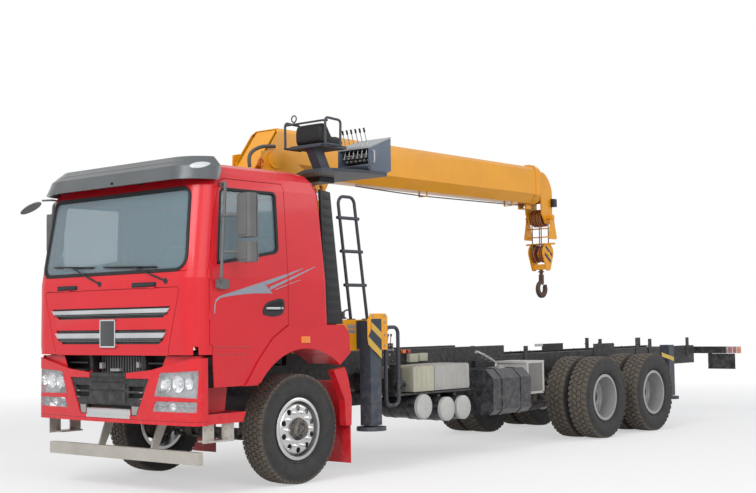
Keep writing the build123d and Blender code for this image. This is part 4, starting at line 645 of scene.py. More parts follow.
def paint_nodes():
    """Give each carried-over piece the material of its slot."""
    slots = {row["node"]: row["material_slot"] for row in frame["record"]["subparts"]}
    for name, obj in NODES.items():
        obj.data.materials.clear()
        obj.data.materials.append(M["bumper_red" if name == "bumper" else slots[name]])
        modifier = obj.modifiers.new("edges", "EDGE_SPLIT")
        modifier.split_angle = math.radians(30)
        obj.data.polygons.foreach_set("use_smooth", [True] * len(obj.data.polygons))


# Camera, floor and light

CAMERA_PLACE = (13.381, 9.828, 1.566)
CAMERA_YAW, CAMERA_PITCH, CAMERA_ROLL = -2.44, 0.061, -0.015
FOCAL_PX = 1261.27
PHOTO_WIDTH_PX = 756
SENSOR_MM = 36.0
VIEW_REACH = 300.0
FLOOR_HALF = 60.0
FLOOR_NEAR, FLOOR_FAR, FLOOR_WHITE = 7.5, 16.0, 0.5
WORLD_STRENGTH = 0.50
LAMP_SIZE = 9.0
# Name, place, aim, power
STUDIO_LAMPS = [
    ("key", (19, 4, 12), (2, 0, 1.5), 2300.0),
    ("fill", (10, 13, 8), (2, 0, 1.5), 700.0),
    ("back", (-10, 12, 10), (-2, 0, 1.5), 700.0),
]


def make_camera():
    data = bpy.data.cameras.new("camera")
    cam = bpy.data.objects.new("camera", data)
    bpy.context.scene.collection.objects.link(cam)
    data.sensor_width = SENSOR_MM
    data.lens = FOCAL_PX / PHOTO_WIDTH_PX * SENSOR_MM
    data.clip_end = VIEW_REACH
    forward = Vector((
        math.cos(CAMERA_PITCH) * math.cos(CAMERA_YAW),
        math.cos(CAMERA_PITCH) * math.sin(CAMERA_YAW),
        math.sin(CAMERA_PITCH),
    ))
    level = forward.cross(UP).normalized()
    upright = level.cross(forward)
    side = level * math.cos(CAMERA_ROLL) + upright * math.sin(CAMERA_ROLL)
    top = upright * math.cos(CAMERA_ROLL) - level * math.sin(CAMERA_ROLL)
    turn = Matrix((side, top, -forward)).transposed()
    cam.matrix_world = Matrix.Translation(CAMERA_PLACE) @ turn.to_4x4()
    bpy.context.scene.camera = cam


def background_rays(tree):
    """1 where the camera, a reflection or a pane sees the background."""
    path = add(tree, "ShaderNodeLightPath")
    seen = path.outputs["Is Camera Ray"]
    for kind in ("Is Glossy Ray", "Is Transmission Ray"):
        seen = maths(tree, "MAXIMUM", seen, path.outputs[kind])
    return seen


def make_floor():
    """Pale floor that goes over to white away from the truck."""
    half = FLOOR_HALF
    floor = mesh_object("floor", [(-half, -half, 0), (half, -half, 0), (half, half, 0), (-half, half, 0)],
                        [(0, 1, 2, 3)])
    mat, tree, shader = new_material("floor_pale")
    tint = mix_colour(tree, noise(tree, 0.6), (0.86, 0.86, 0.86), (0.80, 0.80, 0.80))
    tree.links.new(tint, shader.inputs["Base Color"])
    shader.inputs["Roughness"].default_value = 0.9
    away = add(tree, "ShaderNodeVectorMath", operation="LENGTH")
    tree.links.new(object_coords(tree), away.inputs[0])
    far = ramp(tree, away.outputs["Value"], FLOOR_NEAR, FLOOR_FAR, FLOOR_WHITE)
    share = maths(tree, "MULTIPLY", background_rays(tree), far)
    white = add(tree, "ShaderNodeEmission", Color=(1.0, 1.0, 1.0, 1.0), Strength=1.0)
    surface = mix_shader(tree, share, shader.outputs[0], white.outputs[0])
    tree.links.new(surface, tree.nodes["Material Output"].inputs["Surface"])
    floor.data.materials.append(mat)


def make_light():
    world = bpy.data.worlds.new("studio")
    bpy.context.scene.world = world
    world.use_nodes = True
    tree = world.node_tree
    tree.nodes.clear()
    soft = add(tree, "ShaderNodeBackground", Color=(0.93, 0.95, 1.0, 1.0), Strength=WORLD_STRENGTH)
    white = add(tree, "ShaderNodeBackground", Color=(1.0, 1.0, 1.0, 1.0), Strength=1.0)
    surface = mix_shader(tree, background_rays(tree), soft.outputs[0], white.outputs[0])
    add(tree, "ShaderNodeOutputWorld", Surface=surface)
    for name, place, aim, power in STUDIO_LAMPS:
        data = bpy.data.lights.new(name, "AREA")
        data.energy = power
        data.size = LAMP_SIZE
        lamp = bpy.data.objects.new(name, data)
        bpy.context.scene.collection.objects.link(lamp)
        lamp.location = place
        lamp.rotation_mode = "QUATERNION"
        lamp.rotation_quaternion = (Vector(aim) - Vector(place)).to_track_quat("-Z", "Y")
    bpy.context.scene.view_settings.view_transform = "Standard"


# Tyres and rims, drawn about Y with the outer face towards +y

TYRE_HALF = 0.1475
CROWN_DROP, TREAD_DEPTH, TREAD_CLEAR = 0.006, 0.016, 0.0005
TWIN_HALF_SPACING = 0.17
RIM_HALF, RIM_SEAT_R, RIM_FLANGE_R = 0.121, 0.286, 0.306
NUT_COUNT, NUT_RING_R, NUT_R = 10, 0.1675, 0.0165
# Half of the side wall and crown as (y, radius), from the bead to the middle
TYRE_SECTION = [
    (0.103, 0.2865), (0.104, 0.311), (0.118, 0.326), (0.139, 0.365), (TYRE_HALF, 0.415), (0.145, 0.455),
    (0.137, 0.490), (0.129, 0.512), (0.119, 0.5255), (0.112, 0.5265),
]
# Tread rows: y low, y high, count, phase, slant, gap share
STEER_ROWS = [
    (-0.128, -0.082, 64, 0.0, 0.012, 0.16), (-0.074, -0.032, 64, 0.5, -0.012, 0.14),
    (-0.024, 0.024, 64, 0.0, 0.012, 0.14), (0.032, 0.074, 64, 0.5, -0.012, 0.14),
    (0.082, 0.128, 64, 0.0, 0.012, 0.16),
]
DRIVE_ROWS = [
    (-0.132, -0.070, 44, 0.0, 0.018, 0.34), (-0.060, -0.006, 44, 0.5, -0.022, 0.26),
    (0.006, 0.060, 44, 0.0, 0.022, 0.26), (0.070, 0.132, 44, 0.5, -0.018, 0.34),
]
RIB_COUNT = 56
RIB_CORNERS = [(0.1275, 0.523), (0.1385, 0.486), (0.1255, 0.52), (0.1355, 0.484)]
# Raised rings on the side wall as (y, radius)
WALL_RINGS = [(0.1292, 0.335), (0.1425, 0.470)]
FRONT_DISC = [
    (0.020, 0.282), (0.034, 0.282), (0.062, 0.262), (0.092, 0.247), (0.104, 0.236), (0.110, 0.220),
    (0.112, 0.200), (0.112, 0.095), (0.098, 0.095), (0.098, 0.204), (0.092, 0.228), (0.052, 0.252),
    (0.020, 0.262),
]
REAR_DISC = [
    (0.085, 0.284), (0.080, 0.262), (0.050, 0.243), (0.025, 0.232), (0.018, 0.222), (0.018, 0.095),
    (-0.018, 0.095), (-0.018, 0.228), (-0.085, 0.262), (-0.085, 0.284), (-0.065, 0.284), (0.0, 0.250),
    (0.065, 0.284),
]
# Drum and cap of each hub
FRONT_HUB = [
    [(-0.042, 0.050), (-0.042, 0.185), (0.020, 0.195), (0.098, 0.150), (0.098, 0.05)],
    [(0.100, 0.112), (0.116, 0.112), (0.122, 0.104), (0.150, 0.098), (0.163, 0.092), (0.172, 0.076),
     (0.178, 0.060), (0.180, 0.040), (0.180, 0.001), (0.100, 0.001)],
]
REAR_HUB = [
    [(-0.300, 0.056), (-0.300, 0.215), (-0.060, 0.215), (-0.018, 0.190), (-0.018, 0.056)],
    [(0.010, 0.118), (0.030, 0.116), (0.040, 0.106), (0.092, 0.102), (0.108, 0.096), (0.118, 0.085),
     (0.120, 0.070), (0.120, 0.001), (0.010, 0.001)],
]


def wheel_point(y, radius, turn):
    return Vector((radius * math.cos(turn), y, radius * math.sin(turn)))


def tread_blocks(rows):
    """Raised blocks round the crown, each narrower at its top."""
    blocks = []
    for y_low, y_high, count, phase, slant, gap in rows:
        half = math.pi / count * (1 - gap)
        for index in range(count):
            centre = 2 * math.pi * (index + phase) / count
            base, top = [], []
            for y, lean in ((y_low, -slant), (y_high, slant)):
                crown = WHEEL_Z - TREAD_CLEAR - CROWN_DROP * (y / TYRE_HALF) ** 2
                for edge in (-half, half):
                    base.append(wheel_point(y, crown - TREAD_DEPTH, centre + edge + lean))
                    y_top = y * 0.985 + (y_low + y_high) * 0.0075
                    top.append(wheel_point(y_top, crown, centre + edge * 0.93 + lean))
            faces = [(4, 5, 7, 6), (0, 1, 5, 4), (1, 3, 7, 5), (3, 2, 6, 7), (2, 0, 4, 6)]
            blocks.append((base + top, faces))
    return blocks


def side_ribs(sign):
    """Short radial ribs on the shoulder."""
    half = math.pi / RIB_COUNT * 0.55
    ribs = []
    for index in range(RIB_COUNT):
        centre = 2 * math.pi * index / RIB_COUNT
        ring = [wheel_point(sign * y, r, centre + edge) for y, r in RIB_CORNERS for edge in (-half, half)]
        ribs.append((ring, [(0, 1, 3, 2), (4, 5, 1, 0), (1, 5, 7, 3), (0, 2, 6, 4)]))
    return ribs


def tyre_mesh(rows):
    section = [(-y, r) for y, r in TYRE_SECTION] + TYRE_SECTION[::-1]
    parts = [lathe(section, 96)] + tread_blocks(rows) + side_ribs(1) + side_ribs(-1)
    for y, r in WALL_RINGS:
        for sign in (-1, 1):
            ring = [(sign * (y - 0.004), r - 0.004), (sign * (y + 0.0015), r),
                    (sign * (y - 0.004), r + 0.004)]
            parts.append(lathe(ring, 96))
    return parts


def wheel_piece(name, parts, body, material, centre, sign, node):
    """A wheel piece drawn at its own centre, so that its finish turns about the hub."""
    obj = merged(name, parts, body, material, degrees=35)
    flip = Matrix.Identity(4) if sign > 0 else Matrix.Rotation(math.pi, 4, "Z")
    obj.matrix_world = Matrix.Translation(centre) @ flip
    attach(obj, body)
    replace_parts(obj, node)


def make_tyres():
    for side, sign in SIDES:
        centre = Vector((AXLE_X, sign * abs(FRONT_AXLE.y), WHEEL_Z))
        wheel_piece("tyre_front_" + side, tyre_mesh(STEER_ROWS), "front_wheel_" + side, "tyre", centre, sign,
                    "front_tyre_" + side)
        for number, axle in enumerate(REAR_AXLES, start=1):
            label = "%d_%s" % (number, side)
            for twin, shift in (("inner", -TWIN_HALF_SPACING), ("outer", TWIN_HALF_SPACING)):
                centre = Vector((axle.x, sign * (abs(axle.y) + shift), WHEEL_Z))
                wheel_piece("tyre_rear_%s_%s" % (label, twin), tyre_mesh(DRIVE_ROWS), "rear_wheels_" + label,
                            "tyre", centre, sign, "rear_tyres_" + label)


def rim_barrel(centre_y):
    half = [(RIM_HALF, 0.272), (RIM_HALF, 0.300), (RIM_HALF - 0.004, RIM_FLANGE_R),
            (RIM_HALF - 0.013, RIM_FLANGE_R - 0.001), (RIM_HALF - 0.017, RIM_SEAT_R)]
    outline = [(-y, r) for y, r in half] + half[::-1]
    return lathe([(y + centre_y, r) for y, r in outline], 72)


def holed_disc(outline, count, ring_r, hole_r, y_low, y_high):
    """Lathe with round hand holes cut through it."""
    cutters = [disc((ring_r * c, y_low, ring_r * s), LEFT, hole_r, y_high - y_low, 24, 0.0)
               for c, s in circle(count, 0.5)]
    body = mesh_object("holed", *lathe(outline, 120))
    tool = mesh_object("holes", *joined_parts(cutters))
    for obj in (body, tool):
        bm = bmesh.new()
        bm.from_mesh(obj.data)
        bmesh.ops.remove_doubles(bm, verts=bm.verts, dist=0.00001)
        bmesh.ops.holes_fill(bm, edges=bm.edges[:], sides=0)
        bmesh.ops.recalc_face_normals(bm, faces=bm.faces[:])
        bm.to_mesh(obj.data)
        bm.free()
    cut = body.modifiers.new("cut", "BOOLEAN")
    cut.object, cut.operation, cut.solver = tool, "DIFFERENCE", "EXACT"
    bpy.context.view_layer.update()
    done = bpy.data.meshes.new_from_object(body.evaluated_get(bpy.context.evaluated_depsgraph_get()))
    part = [v.co.copy() for v in done.vertices], [tuple(p.vertices) for p in done.polygons]
    bpy.data.objects.remove(body)
    bpy.data.objects.remove(tool)
    bpy.data.meshes.remove(done)
    return part


def studs(y, length):
    """Ring of wheel studs: a washer, a nut and the stud's end."""
    washer, nut = 0.006, 0.022
    parts = []
    for c, s in circle(NUT_COUNT):
        centre = Vector((NUT_RING_R * c, y, NUT_RING_R * s))
        parts += [
            disc(centre, LEFT, NUT_R * 1.25, washer, 16, 0.3),
            disc(centre + LEFT * washer, LEFT, NUT_R, nut, 6, 0.15),
            disc(centre + LEFT * (washer + nut), LEFT, NUT_R * 0.55, length - washer - nut, 10, 0.3),
        ]
    return parts


def make_rims():
    front = [rim_barrel(0), holed_disc(FRONT_DISC, 10, 0.206, 0.029, 0.06, 0.13)]
    rear = [rim_barrel(-TWIN_HALF_SPACING), rim_barrel(TWIN_HALF_SPACING),
            holed_disc(REAR_DISC, 8, 0.190, 0.027, -0.06, 0.06)]
    front_hub, rear_hub = ([lathe(outline, 64) for outline in hub] for hub in (FRONT_HUB, REAR_HUB))
    # Name, rim, hub, studs, rim's and studs' material, axle, body, node
    rows = [("front", front, front_hub, studs(0.112, 0.046), "rim_front", "rod_chrome", FRONT_AXLE,
             "front_wheel", "front_rim")]
    for number, axle in enumerate(REAR_AXLES, start=1):
        rows.append(("rear_%d" % number, rear, rear_hub, studs(0.018, 0.052), "rim_rear", "silver_paint",
                     axle,
                     "rear_wheels_%d" % number, "rear_rims_%d" % number))
    for side, sign in SIDES:
        for name, rim, hub, nuts, paint, nut_paint, axle, body, node in rows:
            centre = Vector((axle.x, sign * abs(axle.y), WHEEL_Z))
            for kind, parts, material in (("rim", rim, paint), ("hub", hub, "axle_black"),
                                          ("nuts", nuts, nut_paint)):
                wheel_piece("%s_%s_%s" % (kind, name, side), parts, "%s_%s" % (body, side), material, centre,
                            sign, "%s_%s" % (node, side))


# Cab: glass edges, wipers, lid, door trim

SCREEN = [(-1.10, 2.070), (1.10, 2.070), (1.04, 2.860), (-1.04, 2.860)]
SCREEN_CORNERS = [0.14, 0.14, 0.09, 0.09]
CORNER_STEPS = 8
WINDOW = [
    (1.155, 2.130), (1.080, 2.815), (1.040, 2.850), (0.375, 2.850), (0.345, 2.820), (0.345, 2.290),
    (0.380, 2.255),
]
GLASS_DEPTH = 0.016
# Pivot on the cab's front, middle and ends of the blade on the glass
WIPERS = [
    ((-0.138, 1.988), (-0.599, 2.165), (-0.914, 2.178), (-0.262, 2.152)),
    ((0.840, 1.988), (0.377, 2.132), (-0.103, 2.148), (0.690, 2.122)),
]
BLADE_STEPS = 8
GRIP_ENDS = [(-0.800, -0.510), (0.370, 0.690)]

screen_hit = dropped_on("windscreen", "front")
pane_hit = dropped_on("door_glass_left", "left")
door_hit = dropped_on("door_left", "left")
shell_front_hit = dropped_on("cab_shell", "front")
shell_side_hit = dropped_on("cab_shell", "left")
visor_hit = dropped_on("cab_visor", "front")


def evenly(first, pitch, count):
    return [first + k * pitch for k in range(count)]


def on_each_side(name, parts, body, material, slot=None):
    """The same piece on the left and the right body."""
    for side, sign in SIDES:
        merged(name + side, [on_side(part, sign) for part in parts], body + side, material, slot)


def box_piece(name, body, material, slot, *corners, bevel=0.0, both=False):
    parts = boxes(*corners, bevel=bevel)
    return merged(name, both_sides(parts) if both else parts, body, material, slot)


def make_glass_edges():
    loop = rounded_outline(inset_outline(SCREEN, 0.012), SCREEN_CORNERS)
    rubber = laid_strip(screen_hit, loop, 0.038, -0.004, 0.023)
    merged("windscreen_rubber", [rubber], "cab", "rubber", "trim_black")
    outline = inset_outline(SCREEN, 0.001)
    rounded = rounded_outline(outline, SCREEN_CORNERS, CORNER_STEPS)
    fans = []
    for i, corner in enumerate(outline):
        arc = rounded[i * (CORNER_STEPS + 1):(i + 1) * (CORNER_STEPS + 1)]
        fans.append(laid_fan(screen_hit, [corner] + arc, GLASS_DEPTH + 0.0005, 0.020))
    merged("windscreen_corners", fans, "cab", "cab_red")
    loop = rounded_outline(inset_outline(WINDOW, 0.010), 0.04)
    on_each_side("door_rubber_", [laid_strip(pane_hit, loop, 0.032, -0.004, 0.021)], "door_", "rubber",
                 "trim_black")


def make_wipers():
    """Arms in two runs from the pivot, and blades with a bowed spine."""
    parts = []
    for pivot, middle, low, high in WIPERS:
        spot, normal = shell_front_hit(*pivot)
        rest, up = screen_hit(*middle)
        base, top = spot + normal * 0.003, rest + up * 0.034
        knee = base.lerp(top, 0.42) + normal * 0.006
        spine = []
        for k in range(BLADE_STEPS + 1):
            share = k / BLADE_STEPS
            point, up = screen_hit(*Vector(low).lerp(Vector(high), share))
            spine.append(point + up * (0.019 + 0.012 * math.sin(math.pi * share)))
        parts += [
            disc(spot - normal * 0.006, normal, 0.028, 0.012, 20, 0.3), bar([base, knee], 0.009),
            bar([knee, top], 0.007, 8), bar(spine, 0.005, 8),
            laid_strip(screen_hit, [low, high], 0.011, 0.0005, 0.018, closed=False),
        ]
    merged("wipers", parts, "cab", "trim_black")
    grips = []
    for low, high in GRIP_ENDS:
        grips += boxes(((1.427, low - 0.02, 1.938), (1.4335, high + 0.02, 1.984)), bevel=0.003)
        grips += boxes(((1.430, low, 1.947), (1.448, high, 1.973)), bevel=0.008)
    merged("front_grips", grips, "cab", "trim_black")


BAR_BACK, BAR_FRONT = 1.409, 1.4455
LOW_BAR = [(0.119, 1.462), (0.802, 1.462), (0.849, 1.513), (0.119, 1.513)]
TOP_BAR = [(-0.862, 1.697), (0.862, 1.697), (0.905, 1.737), (-0.905, 1.737)]
# Lowest and highest z, half width at each
BAR_MESHES = [(1.428, 1.466, 0.776, 0.812), (1.678, 1.700, 0.846, 0.868)]
LID_SLOTS = [(1.406, 1.542, 0.848), (1.650, 1.754, 0.905)]
WIRE_PITCH_Y, WIRE_PITCH_Z = 0.02, 0.017
PLATE_HALF, PLATE_LOW, PLATE_HIGH, PLATE_EDGE = 0.119, 1.374, 1.642, 0.014


def wires(back, half, low, high, places, heights, upright_front, level_front):
    """Crossed wires before a back: uprights at places across, and levels at heights."""
    out = []
    for y in places:
        out += boxes(((back, y - 0.0022, low), (upright_front, y + 0.0022, high)))
    for z in heights:
        out += boxes(((back, -half, z - 0.002), (level_front, half, z + 0.002)))
    return out


def make_lid():
    """Silver bars, wire mesh in and between them, and the bare plate with its border."""
    silver = both_sides([front_part(LOW_BAR, BAR_BACK, BAR_FRONT, 0.008)])
    silver.append(front_part(TOP_BAR, BAR_BACK, BAR_FRONT, 0.008))
    merged("lid_bars", silver, "lid", "bright_silver", "silver_paint")
    backs, mesh = [], []
    for low, high, half, high_half in BAR_MESHES:
        back = [(-half, low), (half, low), (high_half, high), (-high_half, high)]
        backs.append(front_part(back, 1.412, 1.437))
        places = evenly(-half + WIRE_PITCH_Y / 2, WIRE_PITCH_Y, int(2 * half / WIRE_PITCH_Y))
        heights = evenly(low + 0.006, WIRE_PITCH_Z, int((high - low) / WIRE_PITCH_Z) + 1)
        mesh += wires(1.437, half, low, high, places, heights, 1.4385, 1.439)
    for low, high, half in LID_SLOTS:
        backs += boxes(((1.4025, -half, low - 0.004), (1.4045, half, high + 0.004)))
        places = evenly(-half, WIRE_PITCH_Y, int(2 * half / WIRE_PITCH_Y) + 1)
        heights = evenly(low + 0.004, WIRE_PITCH_Z, int((high - low) / WIRE_PITCH_Z) + 1)
        mesh += wires(1.4045, half, low, high, places, heights, BAR_BACK, 1.410)
    merged("lid_mesh_back", backs, "lid", "deep_black", "trim_black")
    merged("lid_mesh", mesh, "lid", "mesh_grey", "trim_black")
    back, front, half, low, high, edge = 1.404, 1.4485, PLATE_HALF, PLATE_LOW, PLATE_HIGH, PLATE_EDGE
    box_piece("lid_plate_border", "lid", "rod_chrome", "rod_chrome",
              ((back, -half, low), (front, -half + edge, high)),
              ((back, half - edge, low), (front, half, high)),
              ((back, -half, low), (front, half, low + edge)),
              ((back, -half, high - edge), (front, half, high)),
              bevel=0.004)
    inset = edge - 0.002
    box_piece("lid_plate", "lid", "plate_grey", "trim_black",
              ((1.430, -half + inset, low + inset), (1.4445, half - inset, high - inset)), bevel=0.003)


STRIPE_LOW = [(1.188, 1.681), (1.177, 1.786), (1.112, 1.826), (0.937, 1.849), (0.703, 1.868), (0.445, 1.870)]
STRIPE_HIGH = [(1.199, 1.681), (1.195, 1.759), (1.177, 1.809), (1.119, 1.842), (0.906, 1.895), (0.573, 1.979)]
# Low and high edges of the stripe's tails on the door and behind it
DOOR_TAILS = [
    ([(0.525, 1.947), (0.234, 2.038)], [(0.573, 1.979), (0.234, 2.062)]),
    ([(0.480, 1.901), (0.234, 1.990)], [(0.480, 1.934), (0.234, 2.013)]),
    ([(0.411, 1.902), (0.234, 1.953)], [(0.411, 1.910), (0.234, 1.961)]),
]
REAR_TAILS = [
    ([(0.222, 2.042), (0.013, 2.118)], [(0.222, 2.065), (0.013, 2.123)]),
    ([(0.222, 1.994), (-0.163, 2.137)], [(0.222, 2.017), (-0.163, 2.143)]),
    ([(0.222, 1.957), (0.057, 2.004)], [(0.222, 1.965), (0.057, 2.009)]),
]
STRIPE_LIFT = 0.0008
HANDLE_RECESS = [
    (0.585, 1.668), (0.577, 1.725), (0.527, 1.783), (0.347, 1.824), (0.289, 1.807), (0.281, 1.725),
    (0.324, 1.661),
    (0.448, 1.644),
]
# Outline of the painted shade deep in the handle recess
HANDLE_POCKET_SHADE = [(0.545, 1.700), (0.530, 1.762), (0.350, 1.800), (0.310, 1.785), (0.320, 1.700)]
DOOR_CREASES = [[(1.213, 1.372), (0.74, 1.362)], [(1.200, 1.306), (0.79, 1.296)]]
MARKER = [(-0.054, 1.386), (0.070, 1.386), (0.074, 1.452), (-0.050, 1.452)]
AIR_GUIDE = [(-0.287, 2.928), (-0.433, 2.908), (-0.603, 1.567), (-0.349, 1.567)]
GUIDE_LOW, GUIDE_HIGH = 1.57, 2.905


def make_side_trim():
    stripe = [laid_sheet(door_hit, STRIPE_LOW, STRIPE_HIGH, 36, 1, STRIPE_LIFT)]
    stripe += [laid_sheet(door_hit, low, high, 10, 1, STRIPE_LIFT) for low, high in DOOR_TAILS]
    recess = [side_part(rounded_outline(HANDLE_RECESS, 0.04), 1.236, 1.2435)]
    # Painted shade: a deep black sheet in the hollow of the handle recess, where only shade falls
    pocket_shade = [side_part(rounded_outline(HANDLE_POCKET_SHADE, 0.03), 1.240, 1.2440)]
    lever = boxes(((0.352, 1.243, 1.716), (0.540, 1.258, 1.738)), bevel=0.006)
    lever.append(disc(at(0.318, 1.243, 1.728), LEFT, 0.012, 0.008, 16, 0.3))
    # Strips along the door creases in a darker red: painted shade of the creases
    crease = [laid_strip(door_hit, path, 0.007, -0.002, 0.0012, closed=False) for path in DOOR_CREASES]
    on_each_side("door_stripe_", stripe, "door_", "stripe_blue", "cab_red")
    on_each_side("door_recess_", recess, "door_", "trim_black")
    on_each_side("door_pocket_shade_", pocket_shade, "door_", "deep_black", "trim_black")
    on_each_side("door_lever_", lever, "door_", "bright_silver", "silver_paint")
    on_each_side("door_crease_shade_", crease, "door_", "crease_shade_red", "cab_red")
    tails = [laid_sheet(shell_side_hit, low, high, 8, 1, STRIPE_LIFT) for low, high in REAR_TAILS]
    merged("rear_stripe", both_sides(tails), "cab", "stripe_blue", "cab_red")
    marker = [side_part(MARKER, 1.250, 1.263, 0.005)]
    merged("side_markers", both_sides(marker), "cab", "amber", "lamp_clear")
    guide = [side_part(AIR_GUIDE, 1.168, 1.2025, 0.003)]
    for z in evenly(1.66, 0.09, 14):
        lean = (z - GUIDE_LOW) / (GUIDE_HIGH - GUIDE_LOW)
        guide += boxes(((-0.575 + 0.16 * lean, 1.200, z), (-0.375 + 0.055 * lean, 1.206, z + 0.05)),
                       bevel=0.003)
    merged("air_guides", both_sides(guide), "cab", "guide_black", "trim_black")


# Lowest and highest z of the small and the large mirror
MIRRORS = [(2.145, 2.335), (2.375, 2.780)]
# Front mirror: sections as depth and share of its size, and its half length and half width
FRONT_MIRROR = [(-0.018, 0.0), (-0.016, 0.55), (-0.006, 0.9), (0.004, 1.0), (0.010, 0.97), (0.007, 0.90),
                (0.007, 0.0)]
FRONT_MIRROR_LONG, FRONT_MIRROR_WIDE = 0.185, 0.040


def make_mirrors():
    shells, mirrors = [], []
    for low, high in MIRRORS:
        shells += boxes(((1.050, 1.405, low + 0.02), (1.066, 1.530, high - 0.02)), bevel=0.012)
        shells += boxes(((0.934, 1.394, low + 0.004), (0.950, 1.556, high - 0.004)), bevel=0.006)
        mirrors += boxes(((0.930, 1.408, low + 0.016), (0.9345, 1.542, high - 0.016)), bevel=0.003)
    on_each_side("mirror_shells_", shells, "door_", "mirror_grey")
    on_each_side("mirror_faces_", mirrors, "door_", "mirror_face", "rod_chrome")
    # Oblong front mirror at the right front corner
    inner, outer = at(1.405, -1.130, 2.862), at(1.405, -1.495, 2.772)
    centre = (inner + outer) / 2
    along = (outer - inner).normalized()
    face = Vector((0.55, 0.0, -0.83)).normalized()
    face = (face - along * face.dot(along)).normalized()
    long, wide = along * FRONT_MIRROR_LONG, face.cross(along) * FRONT_MIRROR_WIDE
    verts = [centre + (long * c + wide * s) * size + face * depth * 1.6
             for depth, size in FRONT_MIRROR for c, s in circle(20)]
    arm = rounded_path([at(1.262, -1.010, 2.868), at(1.330, -1.040, 2.880), inner - face * 0.02], 0.03)
    parts = [(verts, ring_faces(len(FRONT_MIRROR), 20, capped=False)), bar(arm, 0.010),
             disc(at(1.255, -1.005, 2.866), (0.9, -0.35, 0.2), 0.024, 0.014, 16, 0.3)]
    merged("front_mirror", parts, "cab", "mirror_grey")


def make_visor_trim():
    lenses = [laid_dome(visor_hit, (1.113, 3.052), 0.052, 0.034, 0.010)]
    merged("visor_lamps", both_sides(lenses), "cab", "lens_white", "lamp_clear")
    crease = laid_strip(visor_hit, [(-0.98, 3.098), (0.98, 3.098)], 0.020, -0.003, 0.0022, closed=False,
                        spacing=0.08)
    lip = laid_strip(visor_hit, [(-1.16, 2.925), (1.16, 2.925)], 0.012, -0.004, 0.0030, closed=False,
                     spacing=0.05)
    merged("visor_creases", [crease, lip], "cab", "visor_grey")
    knob = disc(at(1.425, 0.054, 2.952), (1, 0, 0.2), 0.012, 0.018, 14, 0.3)
    merged("visor_camera", [knob], "cab", "deep_black", "trim_black")


# Bumper, lamps and the space under the lid

lamp_hit = dropped_on("lamps", "front")
bumper_hit = dropped_on("bumper", "front")
grille_hit = dropped_on("bumper_grille", "front")
# Lowest and highest y, lowest and highest z
LAMP_BACKS = [((0.665, 0.915), (1.200, 1.165)), ((0.640, 0.785), (1.200, 0.882))]
# Bowls as y, z and radius
LAMP_BOWLS = [(0.805, 1.030, 0.066), (0.965, 1.040, 0.072), (1.100, 1.045, 0.050), (0.750, 0.833, 0.036),
              (0.900, 0.833, 0.036), (1.060, 0.833, 0.036)]
BOWL_DEPTH, BOWL_SUNK = 0.034, 0.018
TREAD_STUD_LINES = (1.388, 1.410, 1.430)


def dish(centre, axis, radius, depth):
    """Open bowl, its mouth towards an axis."""
    waist, wall = depth * 0.55, 0.003
    outline = [
        (0, radius), (-waist, radius * 0.86), (-depth, radius * 0.40), (-depth, CORE_R),
        (-depth - wall, CORE_R),
        (-depth - wall, radius * 0.45), (-waist, radius * 0.90), (0, radius * 1.06),
    ]
    return stood_at(lathe(outline, 28), centre, axis)


def make_lamps():
    backs = [laid_sheet(lamp_hit, [low, (high[0], low[1])], [(low[0], high[1]), high], 10, 3, -0.050, 0.054)
             for low, high in LAMP_BACKS]
    bowls, bulbs = [], []
    for y, z, radius in LAMP_BOWLS:
        spot, normal = lamp_hit(y, z)
        aim = (AHEAD + normal * 0.5).normalized()
        mouth = spot - normal * BOWL_SUNK
        bowls.append(dish(mouth, aim, radius, BOWL_DEPTH))
        bulbs.append(disc(mouth - aim * BOWL_DEPTH, aim, radius * 0.34, 0.022, 16, 0.45))
    merged("lamp_housings", both_sides(backs), "chassis", "mesh_grey", "silver_paint")
    merged("lamp_bowls", both_sides(bowls), "chassis", "reflector", "rod_chrome")
    merged("lamp_bulbs", both_sides(bulbs), "chassis", "lens_white", "lamp_clear")


def make_bumper_trim():
    box_piece("bumper_back", "chassis", "deep_black", "trim_black",
              ((1.398, -0.585, 0.80), (1.406, 0.585, 1.09)))
    tread = boxes(((1.372, -TREAD_HALF, 0.7885), (1.4435, TREAD_HALF, 0.7925)), bevel=0.001)
    for y in evenly(-0.30, 0.05, 13):
        for x, shift in zip(TREAD_STUD_LINES, (0, 0.012, 0)):
            tread.append(disc(at(x, y + shift, 0.7920), UP, 0.007, 0.003, 12, 0.4))
    merged("bumper_tread", tread, "chassis", "bright_silver", "silver_paint")
    blades = [((1.407, 0.310, z - 0.005), (1.430, 0.500, z + 0.005)) for z in (0.955, 0.895)]
    box_piece("vent_blades", "chassis", "warm_grey", "silver_paint", *blades, bevel=0.003, both=True)
    low_edge, high_edge = [(0.350, 0.742), (0.428, 0.742)], [(0.350, 0.822), (0.492, 0.822)]
    facet = laid_sheet(grille_hit, low_edge, high_edge, 3, 1, 0.0015)
    merged("mouth_facets", both_sides([facet]), "chassis", "warm_grey", "silver_paint")


